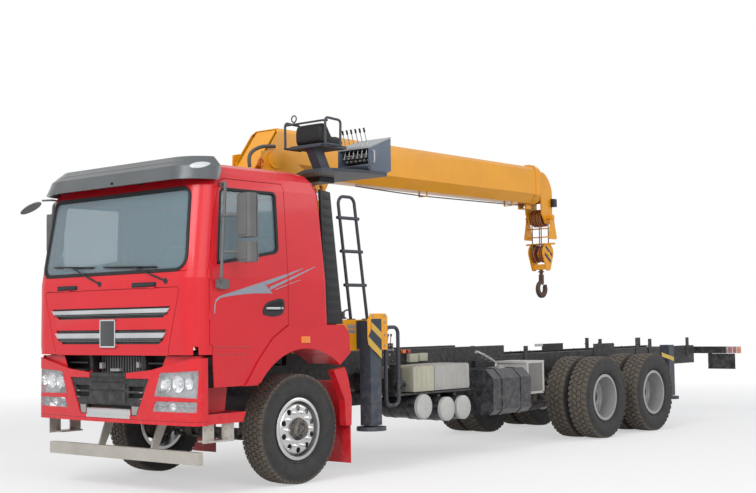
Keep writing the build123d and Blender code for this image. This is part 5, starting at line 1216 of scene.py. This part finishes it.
def make_nose_space():
    """Radiator panel, ledges and lug sleeves that show between the bumper and the lid."""
    box_piece("nose_panels", "chassis", "deep_black", "trim_black",
              ((1.215, -0.36, 0.90), (1.245, 0.36, 1.30)), ((1.215, 0.45, 0.90), (1.245, 1.13, 1.29)),
              ((1.215, -1.13, 0.90), (1.245, -0.45, 1.29)))
    box_piece("nose_ledges", "chassis", "trim_black", "trim_black",
              ((1.246, 0.46, 1.135), (1.366, 0.86, 1.160)), ((1.246, 0.46, 1.215), (1.330, 0.86, 1.232)),
              bevel=0.005, both=True)
    fins = [((1.246, y, 0.93), (1.249, y + 0.022, 1.285)) for y in evenly(-0.34, 0.04, 18)]
    box_piece("nose_fins", "chassis", "mesh_grey", "engine_grey", *fins, bevel=0.0008)
    box_piece("nose_brackets", "chassis", "pale_grey", "equipment_grey",
              ((1.247, -0.315, 1.165), (1.300, -0.275, 1.225)),
              ((1.247, 0.262, 1.180), (1.310, 0.300, 1.235)),
              ((1.247, -0.16, 1.140), (1.290, -0.02, 1.168)), bevel=0.006)
    sleeve = [(1.272, 1.126), (1.328, 1.126), (1.328, 1.259), (1.376, 1.392), (1.162, 1.392)]
    merged("lug_sleeves", both_sides([side_part(sleeve, 0.378, 0.428, 0.004)]), "cab", "trim_black")
    shoulder = held_at(bumper_hit, 0.69)
    low_edge, high_edge = [(0.70, 1.138), (1.185, 1.138)], [(0.78, 1.294), (1.185, 1.294)]
    band = [laid_sheet(shoulder, low_edge, high_edge, 12, 1, -0.050, 0.056)]
    band += boxes(((1.255, 1.163, 1.138), (1.352, 1.171, 1.294)), bevel=0.002)
    merged("nose_shoulders", both_sides(band), "chassis", "cab_red")


def make_steps():
    tread = [side_part([(0.800, 0.750), (1.190, 0.750), (1.190, 0.756), (0.800, 0.756)], 1.02, 1.158, 0.001)]
    for x in evenly(0.815, 0.042, 9):
        tread += boxes(((x, 1.03, 0.7555), (x + 0.020, 1.150, 0.7600)), bevel=0.001)
    merged("step_treads", both_sides(tread), "chassis", "trim_black")
    plates = boxes(((1.145, 1.160, 0.500), (1.280, 1.170, 0.678)),
                   ((0.896, 1.160, 0.500), (1.022, 1.170, 0.678)),
                   bevel=0.004)
    for x in (1.175, 1.250, 0.920, 0.998):
        for z in (0.540, 0.620):
            plates += bolt(at(x, 1.170, z), LEFT, 0.009, 0.010)
    merged("step_hangers", both_sides(plates), "chassis", "silver_paint")


# Equipment on the left rail

TANKS = [(-2.030, 0.640), (-2.450, 0.590), (-2.757, 0.590)]
TANK_R = 0.135
COVER_BACK, COVER_FACE, COVER_LOW = 0.580, 1.056, 0.800
# Air dryer: lowest and highest z and radius of each section, and its fittings as x, y, z and radius
DRYER_SECTIONS = [(0.792, 0.880, 0.070), (0.880, 0.960, 0.086), (0.960, 1.085, 0.078), (1.085, 1.115, 0.066)]
DRYER_FITTINGS = [(-1.665, 1.050, 0.880, 0.017), (-1.720, 1.050, 0.860, 0.014), (-1.775, 1.050, 0.890, 0.019),
                  (-1.640, 0.950, 0.905, 0.016), (-1.640, 0.900, 0.860, 0.013)]


def drum(centre, radius, length, crown):
    """Air tank across the vehicle, with crowned ends."""
    end = [(1.0, CORE_R), (0.92, radius * 0.35), (0.60, radius * 0.72), (0.18, radius * 0.96), (0.0, radius)]
    outline = [(-crown * share, r) for share, r in end]
    outline += [(length + crown * share, r) for share, r in end[::-1]]
    return moved(lathe(outline, 48), centre)


def make_side_equipment():
    bodies, ends, bands = [], [], []
    for x, z in TANKS:
        bodies.append(drum(at(x, 0.585, z), TANK_R, 0.535, 0.022))
        bodies += boxes(((x - 0.03, 0.62, z + 0.10), (x + 0.03, 1.00, z + 0.165)), bevel=0.006)
        ends += [drum(at(x, 1.085, z), TANK_R + 0.0006, 0.040, 0.024),
                 disc(at(x + 0.012, 1.143, z - 0.02), LEFT, 0.012, 0.008, 12, 0.4)]
        bands += [disc(at(x, y, z), LEFT, TANK_R + 0.004, 0.030, 48, 0.1) for y in (0.700, 0.950)]
    tray = boxes(((-2.985, 0.560, 0.772), (-1.600, 1.060, 0.792)),
                 ((-2.985, 0.442, 0.80), (-2.955, 0.560, 1.02)),
                 ((-1.660, 0.442, 0.80), (-1.630, 0.560, 1.02)), ((-2.20, 0.442, 0.80), (-2.17, 0.560, 1.02)),
                 ((-2.985, 0.440, 0.772), (-1.600, 0.570, 0.800)), bevel=0.004)
    dryer = [disc(at(-1.720, 0.960, low), UP, radius, high - low + 0.002, 32, 0.2)
             for low, high, radius in DRYER_SECTIONS]
    dryer += boxes(((-1.830, 0.800, 0.800), (-1.640, 0.960, 0.965)),
                   ((-1.795, 0.90, 0.83), (-1.655, 1.050, 0.930)),
                   bevel=0.012)
    for x, y, z, radius in DRYER_FITTINGS:
        dryer += bolt(at(x, y, z), LEFT if y > 1 else AHEAD, radius, 0.022)
    front_cover = boxes(((-2.300, COVER_BACK, COVER_LOW), (-1.925, COVER_FACE, 1.080)), bevel=0.018)
    for x in (-2.255, -2.170, -2.085, -2.000):
        front_cover += boxes(((x - 0.016, 1.050, 0.820), (x + 0.016, 1.0605, 1.070)),
                             ((x - 0.016, 0.62, 1.074), (x + 0.016, 1.050, 1.0875)), bevel=0.004)
    rear_cover = boxes(((-2.975, COVER_BACK, COVER_LOW), (-2.312, COVER_FACE, 1.085)), bevel=0.022)
    for x in evenly(-2.930, 0.095, 7):
        rear_cover += boxes(((x - 0.026, 1.048, 0.815), (x + 0.026, 1.0605, 1.075)),
                            ((x - 0.026, 0.62, 1.080), (x + 0.026, 1.050, 1.0925)), bevel=0.005)
    for x in (-2.930, -2.360):
        rear_cover += boxes(((x - 0.02, 1.052, 0.835), (x + 0.02, 1.072, 0.875)), bevel=0.005)
    box = boxes(((-4.590, 0.565, 0.660), (-4.210, 1.020, 1.062)), bevel=0.012)
    box += boxes(((-4.605, 0.560, 1.040), (-4.195, 1.040, 1.070)), bevel=0.006)
    box += boxes(((-4.590, 1.018, 0.660), (-4.560, 1.045, 1.045)),
                 ((-4.240, 1.018, 0.660), (-4.210, 1.045, 1.045)),
                 ((-4.590, 1.018, 0.660), (-4.210, 1.045, 0.690)), bevel=0.004)
    fins = boxes(*[((x, 1.018, 0.692), (x + 0.006, 1.036, 1.038)) for x in evenly(-4.552, 0.0162, 20)])
    for name, parts, material, slot in (
        ("air_tanks", bodies, "tank_black", "tank_black"),
        ("air_tank_ends", ends, "pale_grey", "equipment_grey"),
        ("air_tank_bands", bands, "trim_black", "frame_black"),
        ("air_dryer", dryer, "trim_black", "trim_black"),
        ("equipment_tray", tray, "frame_black", "frame_black"),
        ("battery_cover_front", front_cover, "pale_cover", "equipment_grey"),
        ("battery_cover_rear", rear_cover, "equipment_grey", "equipment_grey"),
        ("filter_box", box, "pale_grey", "equipment_grey"),
        ("filter_fins", fins, "warm_grey", "equipment_grey"),
    ):
        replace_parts(merged(name, parts, "chassis", material, slot), "side_equipment")


FILLER_TOP, FILLER_FOOT = (-3.690, 0.700, 1.178), (-4.000, 0.700, 1.060)
RAIL_BOLT_ROWS = [(1.045, 0.0), (1.125, 0.03), (1.205, 0.0)]
RAIL_BOLT_PITCH = 0.245


def make_rail_items():
    box_piece("rail_boxes", "chassis", "pale_cover", "equipment_grey",
              ((-2.720, 0.445, 1.105), (-2.560, 0.500, 1.205)),
              ((-2.900, 0.445, 1.115), (-2.745, 0.500, 1.208)),
              bevel=0.006)
    box_piece("rail_plugs_amber", "chassis", "amber", "trim_black",
              ((-2.510, 0.445, 1.215), (-2.455, 0.480, 1.255)),
              bevel=0.004)
    box_piece("rail_plugs_red", "chassis", "lens_red", "trim_black",
              ((-2.600, 0.445, 1.215), (-2.545, 0.480, 1.255)),
              bevel=0.004)
    box_piece("rail_plugs_pale", "chassis", "pale_grey", "equipment_grey",
              ((-5.36, 0.445, 1.225), (-5.30, 0.475, 1.262)), ((-5.46, 0.445, 1.225), (-5.40, 0.475, 1.262)),
              bevel=0.004)
    filler = [pipe([(-3.620, 0.690, 1.200), FILLER_TOP, FILLER_FOOT, (-4.000, 0.720, 0.990)], 0.022, 0.05,
                   16)]
    for share in (0.2, 0.45, 0.7):
        clip = at(*FILLER_TOP).lerp(at(*FILLER_FOOT), share)
        filler.append(disc(clip, (-0.93, 0, -0.36), 0.030, 0.016, 18, 0.3))
    filler += [disc(at(-3.780, 0.930, 0.985), UP, 0.060, 0.030, 28, 0.3),
               disc(at(-3.780, 0.930, 1.015), UP, 0.048, 0.016, 28, 0.3)]
    filler += boxes(((-3.86, 0.80, 1.000), (-3.70, 0.88, 1.012)), bevel=0.003)
    merged("tank_filler", filler, "chassis", "steel", "silver_paint")
    heads = []
    rail_hit = dropped_on("chassis_frame", "left")
    for place in range(30):
        for z, shift in RAIL_BOLT_ROWS:
            x = -2.10 - place * RAIL_BOLT_PITCH + shift
            spot = rail_hit(x, z)[0]
            around = [rail_hit(x + a, z + b)[0].y for a, b in ((-0.02, 0), (0.02, 0), (0, -0.02), (0, 0.02))]
            if max(abs(y - spot.y) for y in around) < 0.0005 and 0.40 < spot.y < 0.60:
                heads.append(disc(spot, LEFT, 0.010, 0.008, 10, 0.4))
    merged("rail_bolts", both_sides(heads), "chassis", "steel_dark", "frame_black")


# Operator station and crane

STATION_FRONT, DECK_TOP, CONSOLE_TOP = -1.050, 3.1855, 3.445
CONSOLE_LOW_Y, CONSOLE_HIGH_Y = 0.760, 1.215
CONSOLE_DEPTH, CHEEK_THICK = 0.150, 0.024
LEVER_COUNT = 6
SEAT_LOW = 3.4253


def make_console():
    """Open-fronted valve box: shell, sloped lid, and a valve, spool and lever for each motion."""
    front, low_y, high_y = STATION_FRONT, CONSOLE_LOW_Y, CONSOLE_HIGH_Y
    inner = front - CONSOLE_DEPTH
    rear = [(inner, DECK_TOP), (inner, 3.499), (front - 0.350, 3.571), (front - 0.350, 3.205),
            (front - 0.300, DECK_TOP)]
    cheek = [(front, DECK_TOP), (front, CONSOLE_TOP), (inner - 0.002, 3.499), (inner - 0.002, DECK_TOP)]
    shell = [side_part(rear, low_y, high_y, 0.003), side_part(cheek, low_y, low_y + CHEEK_THICK, 0.002),
             side_part(cheek, high_y - CHEEK_THICK, high_y, 0.002)]
    shell += boxes(((inner, low_y + 0.02, DECK_TOP), (front, high_y - 0.02, 3.258)), bevel=0.003)
    slope = [(front, 3.425), (front + 0.002, 3.448), (front - 0.352, 3.575), (front - 0.352, 3.560),
             (inner, 3.484)]
    lid = [side_part(slope, low_y - 0.003, high_y + 0.003, 0.002)]
    dark = boxes(((inner, low_y + 0.025, 3.258), (inner + 0.006, high_y - 0.025, 3.424)))
    valves, silver, gaiters, knobs = [], [], [], []
    pitch = (high_y - low_y - 0.090) / LEVER_COUNT
    for y in evenly(low_y + 0.045 + pitch / 2, pitch, LEVER_COUNT):
        valves += boxes(((inner, y - 0.024, 3.288), (front - 0.072, y + 0.024, 3.388)), bevel=0.005)
        for z in (3.308, 3.368):
            silver += bolt(at(front - 0.072, y, z), AHEAD, 0.0105, 0.020)
        foot = at(front - 0.052, y, 3.462)
        along = (at(front + 0.006, y, 3.640) - foot).normalized()
        silver += [
            bar([at(front - 0.080, y, 3.338), at(front - 0.022, y, 3.338)], 0.0095, 12),
            bar([at(front - 0.026, y, 3.330), at(front - 0.040, y, 3.430)], 0.0055, 8),
            disc(at(front - 0.026, y - 0.010, 3.338), LEFT, 0.013, 0.020, 14, 0.3),
            disc(at(front - 0.100, y, 3.386), UP, 0.012, 0.020, 12, 0.3),
            bar([foot + along * 0.02, foot + along * 0.150], 0.0052),
        ]
        gaiters += [disc(foot + along * (0.009 * k - 0.006), along, 0.021 - 0.0035 * k, 0.010, 18, 0.45)
                    for k in range(4)]
        knobs.append(bar([foot + along * reach for reach in (0.145, 0.152, 0.185, 0.192)], 0.0105, 14))
    grab_ends = ((-0.004, 3.395), (0.042, 3.395), (0.042, 3.265), (-0.004, 3.265))
    grab = [(front - 0.025, high_y + y, z) for y, z in grab_ends]
    silver.append(pipe(grab, 0.009, 0.02, 14))
    for name, parts, material in (
        ("shell", shell, "console_slate"), ("lid", lid, "lid_grey"), ("back", dark, "deep_black"),
        ("valves", valves, "trim_black"), ("spools", silver, "steel"), ("gaiters", gaiters, "pale_grey"),
        ("knobs", knobs, "deep_black"),
    ):
        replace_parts(merged("console_" + name, parts, "turret", material, "console_slate"), "control_console")


# Seat section as (x, z) over the seat's foot, and the points that form its sitting face and its back
SEAT_LOOP = [
    (-0.782, 0.002), (-0.790, 0.052), (-0.735, 0.080), (-0.660, 0.070), (-0.590, 0.066), (-0.548, 0.090),
    (-0.528, 0.170), (-0.512, 0.218), (-0.470, 0.224), (-0.438, 0.190), (-0.434, 0.080), (-0.440, 0.006),
    (-0.550, 0.001), (-0.680, 0.001),
]
SEAT_FACE, SEAT_SHOULDER, SEAT_BACK = range(2, 6), 6, range(4, 8)
SEAT_MID_X, SEAT_MID_Z = -0.62, 0.060
SEAT_RIGHT_Y, SEAT_WIDE = 0.705, 0.380
# Share across, narrowing of the section, rise of the sitting face
SEAT_STATIONS = [
    (0.0, 0.80, 0.0), (0.025, 0.95, 0.006), (0.09, 1.0, 0.026), (0.17, 1.0, 0.020), (0.26, 1.0, -0.004),
    (0.38, 1.0, -0.010), (0.50, 1.0, -0.012), (0.62, 1.0, -0.010), (0.74, 1.0, -0.004), (0.83, 1.0, 0.020),
    (0.91, 1.0, 0.026), (0.975, 0.95, 0.006), (1.0, 0.80, 0.0),
]
SEAM_STATIONS = (3, 9)


def make_seat():
    """Bucket seat pad: rounded sections across the seat, high at its sides and back."""
    verts, size = [], len(SEAT_LOOP)
    for share, narrow, rise in SEAT_STATIONS:
        for k, (x, z) in enumerate(SEAT_LOOP):
            lift = rise if k in SEAT_FACE else rise * 0.3 if k == SEAT_SHOULDER else 0.0
            push = -rise if k in SEAT_BACK else 0.0
            x_here = SEAT_MID_X + (x - SEAT_MID_X) * narrow + push * 0.8
            z_here = SEAT_MID_Z + (z - SEAT_MID_Z) * narrow + lift
            verts.append(at(x_here, SEAT_RIGHT_Y + SEAT_WIDE * share, SEAT_LOW + max(0.001, z_here)))
    part = verts, ring_faces(len(SEAT_STATIONS), size)
    seat = merged("seat_pad", [part], "turret", "seat_black", degrees=180)
    smooth = seat.modifiers.new("round", "SUBSURF")
    smooth.levels = smooth.render_levels = 2
    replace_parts(seat, "seat_cushion")
    seams = []
    for i in SEAM_STATIONS:
        run = [verts[i * size + k] + UP * 0.0015 for k in SEAT_FACE]
        seams.append(bar(rounded_path(run, 0.03), 0.0022, 8))
    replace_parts(merged("seat_seams", seams, "turret", "rubber", "seat_black"), "seat_cushion")


def cord_curve(name, points, diameter, body, material):
    """Rope or hose as a bevelled curve along its control points, on the body that it rides on."""
    data = bpy.data.curves.new(name, "CURVE")
    data.dimensions = "3D"
    data.bevel_depth = diameter / 2
    data.bevel_resolution = 4
    data.use_fill_caps = True
    spots = [at(*p) for p in points]
    line = data.splines.new("NURBS")
    line.points.add(len(spots) - 1)
    for point, spot in zip(line.points, spots):
        point.co = (*spot, 1.0)
    line.order_u = 3
    line.use_endpoint_u = True
    line.resolution_u = 8
    obj = bpy.data.objects.new(name, data)
    bpy.context.scene.collection.objects.link(obj)
    data.materials.append(M[material])
    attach(obj, body)
    bpy.context.view_layer.update()
    # The bare line's length
    bare = data.copy()
    bare.bevel_depth = 0.0
    probe = bpy.data.objects.new("probe", bare)
    mesh = bpy.data.meshes.new_from_object(probe)
    run = [v.co.copy() for v in mesh.vertices]
    length = sum((b - a).length for a, b in zip(run, run[1:]))
    bpy.data.objects.remove(probe)
    bpy.data.curves.remove(bare)
    bpy.data.meshes.remove(mesh)


SHEAVE_X, BLOCK_Z, HEAD_Z = -6.195, 2.520, 3.030
FALL_Y, FALL_REACH, ROPE_THICK = 0.06, 0.1165, 0.0152
SHEAVE_JACKET = [(-0.0226, 0.045), (-0.0226, 0.1180), (-0.0180, 0.1246), (0.0180, 0.1246), (0.0226, 0.1180),
                 (0.0226, 0.045)]
# Low and high edges of the slanted bands on the hook block
BLOCK_BANDS = [
    ([(-6.118, 2.610), (-6.300, 2.470)], [(-6.118, 2.655), (-6.300, 2.520)]),
    ([(-6.100, 2.495), (-6.245, 2.388)], [(-6.100, 2.545), (-6.262, 2.425)]),
]


def make_hook_gear():
    """Jackets over the sheaves' rims, rope falls between them, bands and the limit switch's cover."""
    jacket = lathe(SHEAVE_JACKET, 48)
    low = [moved(jacket, at(SHEAVE_X, y, BLOCK_Z)) for y in (-FALL_Y, FALL_Y)]
    merged("block_sheaves", low, "hook_frame", "sheave_red", "hook_steel")
    high = [moved(jacket, at(SHEAVE_X, y, HEAD_Z)) for y in (-FALL_Y, 0.0, FALL_Y)]
    merged("head_sheaves", high, "boom_4", "sheave_red", "hook_steel")
    falls = [(x, y) for x in (-FALL_REACH, FALL_REACH) for y in (-FALL_Y, FALL_Y)]
    for number, (x, y) in enumerate(falls, start=1):
        points = [(SHEAVE_X + x, y, z) for z in (HEAD_Z, 2.860, 2.690, BLOCK_Z)]
        cord_curve("rope_fall_%d" % number, points, ROPE_THICK, "hook_frame", "rope")
    plate_hit = dropped_on("hook_block", "left")
    stripes = [laid_sheet(plate_hit, low, high, 8, 1, 0.0010, 0.002) for low, high in BLOCK_BANDS]
    merged("block_stripes", both_sides(stripes), "hook_frame", "stripe_slate", "hook_steel")
    box_piece("limit_cover", "boom_4", "trim_black", "trim_black",
              ((-6.352, 0.068, 3.190), (-6.263, 0.192, 3.304)),
              bevel=0.006)


def make_crane_trim():
    # The hoist rope leaves the boom's underside here
    spot = skin_tree("boom_base").ray_cast(at(-2.20, 0.0, 2.8), UP)[0]
    rope = [(-2.20, 0.0, spot.z - 0.012), (-2.80, 0.0, spot.z - 0.030), (-3.50, 0.0, 3.168),
            (-4.40, 0.0, 3.176),
            (-5.40, 0.0, 3.184), (-5.80, 0.0, 3.188)]
    cord_curve("hoist_rope", rope, 0.0150, "boom", "rope")
    hose = [(-0.600, 0.250, 3.492), (-0.500, 0.250, 3.490), (-0.360, 0.250, 3.462), (-0.245, 0.250, 3.400),
            (-0.205, 0.250, 3.320), (-0.225, 0.250, 3.235)]
    cord_curve("boom_hose", hose, 0.040, "turret", "hose_grey")
    ring = circle(16) + circle(16)[:1]
    shackle = [Vector((0.040 * c, 0, 0.040 * s)) + at(-0.395, 0.245, 3.300) for c, s in ring]
    merged("shackle", [bar(shackle, 0.009)], "turret", "tip_orange", "crane_yellow")


# Outriggers, valve bank, tail and cab interior

HEAD_PLATE = [(-1.252, 1.290), (-0.995, 1.290), (-0.925, 1.400), (-0.925, 1.590), (-0.985, 1.672),
              (-1.222, 1.672),
              (-1.252, 1.640)]
BLACK_PANEL = [(-0.985, 1.616), (-1.150, 1.616), (-1.150, 1.292), (-0.998, 1.292), (-0.932, 1.402),
               (-0.932, 1.425),
               (-0.975, 1.490)]
PLATE_BANDS = [
    [(-0.986, 1.587), (-1.150, 1.472), (-1.150, 1.397), (-0.986, 1.513)],
    [(-0.936, 1.436), (-1.150, 1.275), (-1.150, 1.196), (-0.936, 1.352)],
]
PLATE_BOLTS = [(-1.205, 1.335), (-1.205, 1.450), (-1.205, 1.580), (-1.010, 1.645), (-1.200, 1.645)]
# The right beam's head stands further forward
HEAD_SHIFTS = {"left": 0.0, "right": 0.2165}


def make_outrigger_plates():
    plate = [side_part(HEAD_PLATE, 1.2405, 1.2545, 0.003)]
    panel = [side_part(BLACK_PANEL, 1.2530, 1.2553)]
    bands = [side_part(band, 1.2540, 1.2562) for band in PLATE_BANDS]
    heads = []
    for x, z in PLATE_BOLTS:
        heads += bolt(at(x, 1.2545, z), LEFT, 0.010, 0.009)
    for side, sign in SIDES:
        body, shift = "beam_" + side, AHEAD * HEAD_SHIFTS[side]
        for name, parts, material, slot in (
            ("head_plate_", plate, "crane_yellow", "crane_yellow"),
            ("head_panel_", panel, "stripe_slate", "leg_slate"),
            ("head_bands_", bands, "band_yellow", "crane_yellow"),
            ("head_bolts_", heads, "steel", "leg_slate"),
        ):
            merged(name + body, [on_side(moved(part, shift), sign) for part in parts], body, material, slot)
    box_piece("channel_cap_front", "chassis", "crane_yellow", "crane_yellow",
              ((-0.935, 1.0785, 1.288), (-0.630, 1.0870, 1.612)), bevel=0.003)
    labels = [((-0.915, 1.0865, z), (-0.800, 1.0878, z + 0.040)) for z in (1.520, 1.468)]
    box_piece("channel_labels", "chassis", "bright_silver", "silver_paint", *labels)
    tap = [disc(at(-0.86, 0.98, 1.618), UP, 0.030, 0.022, 20, 0.3),
           disc(at(-0.86, 0.98, 1.640), UP, 0.016, 0.060, 16, 0.2),
           pipe([(-0.86, 0.98, 1.690), (-0.90, 0.98, 1.712), (-0.97, 0.98, 1.716)], 0.009, 0.02, 10)]
    merged("channel_tap", tap, "chassis", "steel_dark", "leg_slate")


def make_valve_bank():
    """Spools, handles and gauge on the ladder guard's panel."""
    silver, dark = [], []
    for x in evenly(-1.345, -0.050, 5):
        dark += boxes(((x - 0.020, 1.000, 1.250), (x + 0.020, 1.070, 1.350)), bevel=0.004)
        dark.append(bar([at(x + 0.004, 1.060, 1.425), at(x + 0.005, 1.062, 1.452)], 0.010, 12))
        silver += bolt(at(x, 1.070, 1.280), LEFT, 0.012, 0.018)
        silver += bolt(at(x, 1.070, 1.325), LEFT, 0.010, 0.014)
        silver += [bar([at(x, 1.045, 1.350), at(x + 0.004, 1.060, 1.430)], 0.005, 8),
                   disc(at(x, 1.030, 1.238), -UP, 0.010, 0.022, 12, 0.3)]
    merged("bank_valves", dark, "chassis", "trim_black", "station_slate")
    merged("bank_fittings", silver, "chassis", "steel", "station_slate")
    dial = disc(at(-1.430, 1.062, 1.530), LEFT, 0.036, 0.018, 28, 0.3)
    merged("bank_gauge", [dial], "chassis", "trim_black", "station_slate")
    face = disc(at(-1.430, 1.0795, 1.530), LEFT, 0.029, 0.0015, 28, 0.2)
    merged("bank_gauge_face", [face], "chassis", "lens_white", "lamp_clear")


TAIL_BACK, TAIL_FACE, TAIL_LOW, TAIL_HIGH = -10.1490, -10.135, 1.008, 1.112
# Lowest and highest y of the tail lamps' panes
TAIL_RED, TAIL_AMBER = [(0.965, 1.035), (1.045, 1.110)], [(1.120, 1.185)]
LEG_BAND = [(-7.640, 1.087), (-8.010, 1.009), (-8.010, 0.950), (-7.640, 1.028)]


def make_tail():
    for name, panes, material in (("tail_red", TAIL_RED, "lens_red"), ("tail_amber", TAIL_AMBER, "amber")):
        corners = [((TAIL_BACK, low, TAIL_LOW), (TAIL_FACE, high, TAIL_HIGH)) for low, high in panes]
        box_piece(name, "chassis", material, "lamp_clear", *corners, bevel=0.004, both=True)
    leg_y = dropped_on("rear_outriggers", "left")(-7.82, 1.02)[0].y
    band = side_part(LEG_BAND, leg_y - 0.0002, leg_y + 0.0010)
    merged("rear_leg_stripes", both_sides([band]), "chassis", "band_yellow", "leg_slate")


DASH = [(1.235, 1.560), (1.235, 1.965), (1.120, 1.995), (0.985, 1.960), (0.930, 1.840), (0.960, 1.560)]
BACKREST = [(0.020, 1.780), (0.150, 1.780), (0.060, 2.420), (-0.060, 2.420)]
WHEEL_CENTRE, WHEEL_TILT, WHEEL_R, SPOKE_R = (0.820, 0.600, 2.080), math.radians(28), 0.220, 0.215


def make_interior():
    """Dash, wheel, padded seats and lining that show through the glass."""
    dash = [side_part(DASH, -1.02, 1.02, 0.02)]
    dash += boxes(((0.955, 0.360, 1.900), (1.110, 0.840, 2.020)), bevel=0.03)
    dash += boxes(((0.935, -0.20, 1.560), (1.080, 0.28, 1.950)), bevel=0.02)
    centre = at(*WHEEL_CENTRE)
    tilt = Matrix.Translation(centre) @ Matrix.Rotation(WHEEL_TILT, 4, "Y")
    ring = [tilt @ Vector((WHEEL_R * c, WHEEL_R * s, 0)) for c, s in circle(40) + circle(40)[:1]]
    spokes = [tilt @ Vector((SPOKE_R * c, SPOKE_R * s, 0)) for c, s in circle(3, 0.75)]
    wheel = [bar(ring, 0.016, 12)] + [bar([centre, end], 0.012, 8) for end in spokes]
    wheel += [disc(centre, tilt.to_3x3() @ UP, 0.060, 0.030, 24, 0.4),
              bar([centre, at(1.000, 0.600, 1.860)], 0.030, 14)]
    seats = []
    for y in (-0.600, 0.600):
        seats += boxes(((0.060, y - 0.250, 1.700), (0.560, y + 0.250, 1.830)), bevel=0.05)
        seats.append(side_part(BACKREST, y - 0.245, y + 0.245, 0.035))
        seats += boxes(((-0.075, y - 0.130, 2.445), (0.030, y + 0.130, 2.590)), bevel=0.035)
        seats += boxes(((0.140, y - 0.200, 1.470), (0.480, y + 0.200, 1.705)), bevel=0.02)
    lining = boxes(((-0.235, -1.100, 1.480), (-0.225, 1.100, 2.860)),
                   ((-0.22, -1.02, 2.885), (1.12, 1.02, 2.895)),
                   ((-0.20, -1.12, 1.455), (1.20, 1.12, 1.470)))
    for name, parts, material in (("dash", dash, "interior"), ("steering_wheel", wheel, "trim_black"),
                                  ("cab_seats", seats, "seat_cloth"), ("cab_lining", lining, "cab_lining")):
        piece = merged(name, parts, "cab", material, "interior")
        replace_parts(piece, "cab_interior")


paint_nodes()
for make in (
    make_camera, make_floor, make_light, make_tyres, make_rims, make_glass_edges, make_wipers, make_lid,
    make_side_trim, make_mirrors, make_visor_trim, make_lamps, make_bumper_trim, make_nose_space, make_steps,
    make_side_equipment, make_rail_items, make_console, make_seat, make_hook_gear, make_crane_trim,
    make_outrigger_plates, make_valve_bank, make_tail, make_interior,
):
    make()
